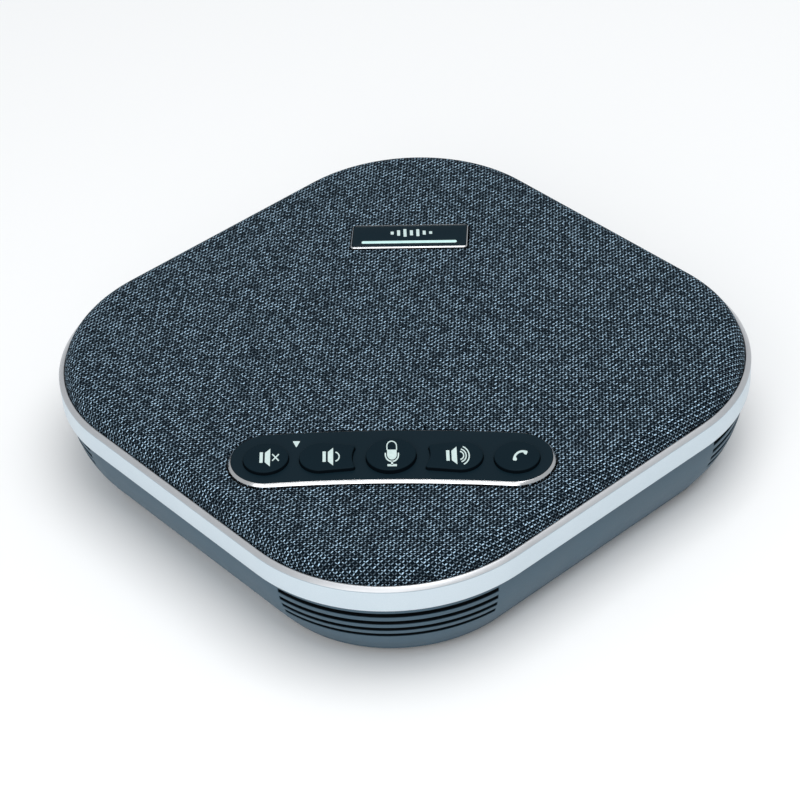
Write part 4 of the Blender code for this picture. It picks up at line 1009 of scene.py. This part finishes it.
def make_keypad(looks):
    """Chromed rim, fascia and keys."""
    top_in = -(RIM_CHAMFER + RIM_TOP)
    rim = loft("keypad_rim_band", [
        (keypad_outline(0.0), RIM_LOW.z),
        (keypad_outline(0.0), RIM_HIGH.z - RIM_CHAMFER),
        (keypad_outline(-RIM_CHAMFER), RIM_HIGH.z),
        (keypad_outline(top_in), RIM_HIGH.z),
        (keypad_outline(top_in), FASCIA_LOW.z - OPENING_GAP),
        (keypad_outline(top_in - RIM_LEDGE), FASCIA_LOW.z - OPENING_GAP),
        (keypad_outline(top_in - RIM_LEDGE), RIM_LOW.z)], closed=True)
    dressed(rounded(rim, RIM_ROUND, 2, 30), looks, "casing", "chrome_trim", "keypad_rim")
    keys = key_outlines()
    edge = keypad_outline(top_in - FASCIA_GAP)
    holes = [grown(outline, HOLE_GAP) for _, outline, _ in keys]
    fascia = flat_plate("fascia_panel", [edge] + holes, FASCIA_LOW.z, FASCIA_HIGH.z)
    dressed(rounded(fascia, FASCIA_ROUND, 2, 60), looks, "casing",
            "fascia_plastic", "keypad_fascia")
    for name, outline, _ in keys:
        low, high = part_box("key_" + name)
        top = high.z - PRINT_PROUD
        flange = grown(outline, KEY_FLANGE)
        sections = [(flange, low.z), (flange, low.z + KEY_FLANGE), (outline, low.z + KEY_FLANGE)]
        for step in range(KEY_FILLET_STEPS + 1):
            turn = math.pi / 2 * step / KEY_FILLET_STEPS
            sections.append((grown(outline, -KEY_FILLET * (1 - math.cos(turn))),
                             top - KEY_FILLET * (1 - math.sin(turn))))
        key = loft(name + "_cap", sections)
        dressed(key, looks, "key_" + name, "key_plastic", "key_" + name)


# Printed signs, drawn in millimetres around their own middle

def bar(width, height, middle):
    """Upright rectangle."""
    return rounded_rectangle(width, height, min(width, height) * 0.08, middle, 2)


def stroke(points, width):
    """Line of constant width along points."""
    left, right = [], []
    for number, point in enumerate(points):
        before = points[max(number - 1, 0)]
        after = points[min(number + 1, len(points) - 1)]
        way = (after - before).normalized()
        side = Vector((-way.y, way.x)) * width / 2
        left.append(point + side)
        right.append(point - side)
    return right + list(reversed(left))


def loudspeaker(start):
    """Small box and horn of the loudspeaker sign."""
    horn = [Vector((start + along, up))
            for along, up in ((1.18, -1.05), (2.36, -1.97), (2.36, 1.97), (1.18, 1.05))]
    return [bar(0.72, 2.32, (start + 0.36, 0)), horn]


def waves(start, radii, spans):
    """Sound waves in front of the horn."""
    return [stroke(arc(radius, (start, 0), -math.radians(span), math.radians(span), 20), 0.27)
            for radius, span in zip(radii, spans)]


def cross(middle, reach, width):
    """Diagonal cross as one outline."""
    half = width / 2
    arm = reach - half
    corners = [(half, half), (half, arm), (-half, arm), (-half, half), (-arm, half), (-arm, -half),
               (-half, -half), (-half, -arm), (half, -arm), (half, -half), (arm, -half), (arm, half)]
    turn = Matrix.Rotation(math.pi / 4, 2)
    return [turn @ Vector(corner) + Vector(middle) for corner in corners]


def speaker_mute_sign():
    return loudspeaker(-1.85) + [cross((1.72, 0), 1.18, 0.27)]


def volume_down_sign():
    return loudspeaker(-1.85) + waves(0.86, (1.0,), (80,))


def volume_up_sign():
    return loudspeaker(-2.55) + waves(0.44, (0.88, 1.43, 2.1), (84, 77, 68))


def microphone_sign():
    """Half-filled capsule in its cradle, on a stem and a base."""
    lift = 0.735
    radius = 1.07
    straight = 2.06 - radius
    level = 0.16
    right, left = Vector((radius, level)), Vector((-radius, level))
    head = [right] + arc(radius, (0, straight), 0, math.pi, 20) + [left]
    fill = [left] + arc(radius, (0, -straight), math.pi, 2 * math.pi, 20) + [right]
    cradle = arc(1.45, (0, -1.0), math.pi, 2 * math.pi, 24)
    cradle = [Vector((-1.45, -0.54))] + cradle + [Vector((1.45, -0.54))]
    parts = [stroke(head, 0.24), fill, stroke(cradle, 0.3), bar(0.43, 0.8, (0, -2.85)),
             bar(2.1, 0.46, (0, -3.3))]
    return [[point + Vector((0, lift)) for point in part] for part in parts]


def call_sign():
    """Telephone handset, tilted."""
    radius = 2.18
    reach = math.radians(56)
    pad = math.radians(19)
    up = math.pi / 2
    points = arc(radius + 0.24, (0, 0), up - reach, up + reach, 30)
    points += arc(radius - 0.62, (0, 0), up + reach, up + reach - pad, 8)
    points += arc(radius - 0.2, (0, 0), up + reach - pad * 1.25, up - reach + pad * 1.25, 24)
    points += arc(radius - 0.62, (0, 0), up - reach + pad, up - reach, 8)
    points = softened(refined(points, 0.08), 0.2)
    turn = Matrix.Rotation(math.radians(29.5), 2)
    return [[turn @ (point - Vector((0, radius - 0.95 / 2))) for point in points]]


def pointer_sign():
    """Small pointer towards the volume keys."""
    corners = [Vector((-0.85, 0.72)), Vector((0, -0.72)), Vector((0.85, 0.72))]
    return [softened(refined(corners, 0.05), 0.15)]


def level_sign():
    """Row of sound-level bars."""
    heights = (0.8, 1.5, 2.1, 1.4, 1.9, 1.1, 0.7)
    pitch = 1.6
    first = -pitch * (len(heights) - 1) / 2
    return [bar(0.75, height, (first + number * pitch, 0)) for number, height in enumerate(heights)]


def print_sign(name, shapes, middle, top, looks, body, slot):
    """Put a sign's flat shapes on a surface."""
    plates = []
    for number, shape in enumerate(shapes):
        outline = [(middle[0] + (point[0] - point[1] * PRINT_TALL * PRINT_LEAN) * MM,
                    middle[1] + point[1] * MM * PRINT_TALL) for point in shape]
        plates.append(flat_plate(f"{name}_{number}", [outline], top - PRINT_T, top))
    dressed(joined(name, plates), looks, body, slot, look="ink")


def make_signs(looks):
    """Signs on the keys and the fascia."""
    signs = {"speaker_mute": (speaker_mute_sign, 0.5, -0.06),
             "volume_down": (volume_down_sign, 2.2, -0.23),
             "microphone_mute": (microphone_sign, 0.2, 0.0),
             "volume_up": (volume_up_sign, -0.73, -0.15),
             "call": (call_sign, 0.53, 0.3)}
    for name, _, middle in key_outlines():
        draw, aside, up = signs[name]
        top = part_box("key_" + name)[1].z
        spot = (middle[0] + aside * MM, middle[1] + up * MM)
        print_sign(name + "_sign", draw(), spot, top, looks, "key_" + name, "key_plastic")
    print_sign("fascia_pointer", pointer_sign(), (POINTER_X, KEYPAD_Y + POINTER_Y),
               FASCIA_HIGH.z + PRINT_PROUD, looks, "casing", "fascia_plastic")


# Badge

def make_badge(looks):
    """Framed plate with a lit bar and a sound-level sign."""
    def frame_line(loss, radius):
        return rounded_rectangle(BADGE_W - 2 * loss, BADGE_D - 2 * loss, radius, (0, BADGE_Y))

    inner_r = BADGE_R - BADGE_RIM_W
    rim = loft("badge_frame", [
        (frame_line(0, BADGE_R), BADGE_LOW.z),
        (frame_line(0, BADGE_R), BADGE_HIGH.z - BADGE_CHAMFER),
        (frame_line(BADGE_CHAMFER, BADGE_R - BADGE_CHAMFER), BADGE_HIGH.z),
        (frame_line(BADGE_RIM_W, inner_r), BADGE_HIGH.z),
        (frame_line(BADGE_RIM_W, inner_r), BADGE_LOW.z)], closed=True)
    dressed(rounded(rim, BADGE_ROUND, 2, 30), looks, "casing", "chrome_trim", "badge_rim")
    bar_low, bar_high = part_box("status_light_bar")
    plate_low, plate_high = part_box("badge_plate")
    bar_middle = (0, (bar_low.y + bar_high.y) / 2)
    bar_size = (bar_high.x - bar_low.x, bar_high.y - bar_low.y)
    hole = rounded_rectangle(bar_size[0] + 2 * LIGHT_GAP, bar_size[1] + 2 * LIGHT_GAP,
                             LIGHT_R + LIGHT_GAP, bar_middle)
    plate = flat_plate("badge_panel", [frame_line(BADGE_RIM_W + PLATE_GAP, inner_r), hole],
                       plate_low.z, plate_high.z)
    dressed(rounded(plate, PLATE_ROUND, 2, 60), looks, "casing",
            "fascia_plastic", "badge_plate")
    outline = rounded_rectangle(*bar_size, LIGHT_R, bar_middle)
    light = loft("light_bar", [(outline, bar_low.z), (outline, plate_high.z)])
    dressed(rounded(light, LIGHT_ROUND, 3, 60), looks, "casing", "light_guide",
            "status_light_bar")
    print_sign("level_sign", level_sign(), (LEVEL_X, BADGE_Y + LEVEL_Y),
               plate_high.z + PRINT_PROUD, looks, "casing", "fascia_plastic")


# Stage

def make_stage():
    """Pale floor and soft lights."""
    shape = bmesh.new()
    bmesh.ops.create_grid(shape, x_segments=1, y_segments=1, size=FLOOR_REACH)
    floor = new_piece("floor", shape)
    look = new_look("pale_floor", (0.97, 0.97, 0.97), 0.7, Specular_IOR_Level=0.3)
    floor.data.materials.append(look)
    world = bpy.data.worlds.new("studio")
    world.use_nodes = True
    world.node_tree.nodes["Background"].inputs["Color"].default_value = WORLD_COLOUR
    world.node_tree.nodes["Background"].inputs["Strength"].default_value = WORLD_STRENGTH
    bpy.context.scene.world = world
    for name, spot, size, power in LAMPS:
        lamp = bpy.data.lights.new(name, "AREA")
        lamp.size = size
        lamp.energy = power
        holder = bpy.data.objects.new(name, lamp)
        holder.location = spot
        holder.rotation_euler = (-Vector(spot)).to_track_quat("-Z", "Y").to_euler()
        bpy.context.scene.collection.objects.link(holder)
    bpy.context.scene.view_settings.view_transform = "Standard"


def make_camera():
    """Camera above the front corner, looking down on the unit."""
    flat = math.cos(ELEVATION)
    right = Vector((math.cos(AZIMUTH), math.sin(AZIMUTH), 0.0))
    back = Vector((math.sin(AZIMUTH) * flat, -math.cos(AZIMUTH) * flat,
                   math.sin(ELEVATION)))
    up = right.cross(-back)
    side = right * math.cos(BANK) + up * math.sin(BANK)
    upright = -right * math.sin(BANK) + up * math.cos(BANK)
    data = bpy.data.cameras.new("camera")
    data.lens = LENS
    data.sensor_width = SENSOR
    camera = bpy.data.objects.new("camera", data)
    turn = Matrix((side, upright, back)).transposed()
    camera.matrix_world = Matrix.Translation(CAMERA_SPOT) @ turn.to_4x4()
    bpy.context.scene.collection.objects.link(camera)
    bpy.context.scene.camera = camera


make_camera()
make_stage()
LOOKS = make_looks()
for node_name, node_object in frame["nodes"].items():
    node_object.data.materials.clear()
    node_object.data.materials.append(LOOKS[RECORD_SLOTS[node_name]])
make_housing(LOOKS)
make_trim_ring(LOOKS)
make_cover(LOOKS)
make_keypad(LOOKS)
make_signs(LOOKS)
make_badge(LOOKS)
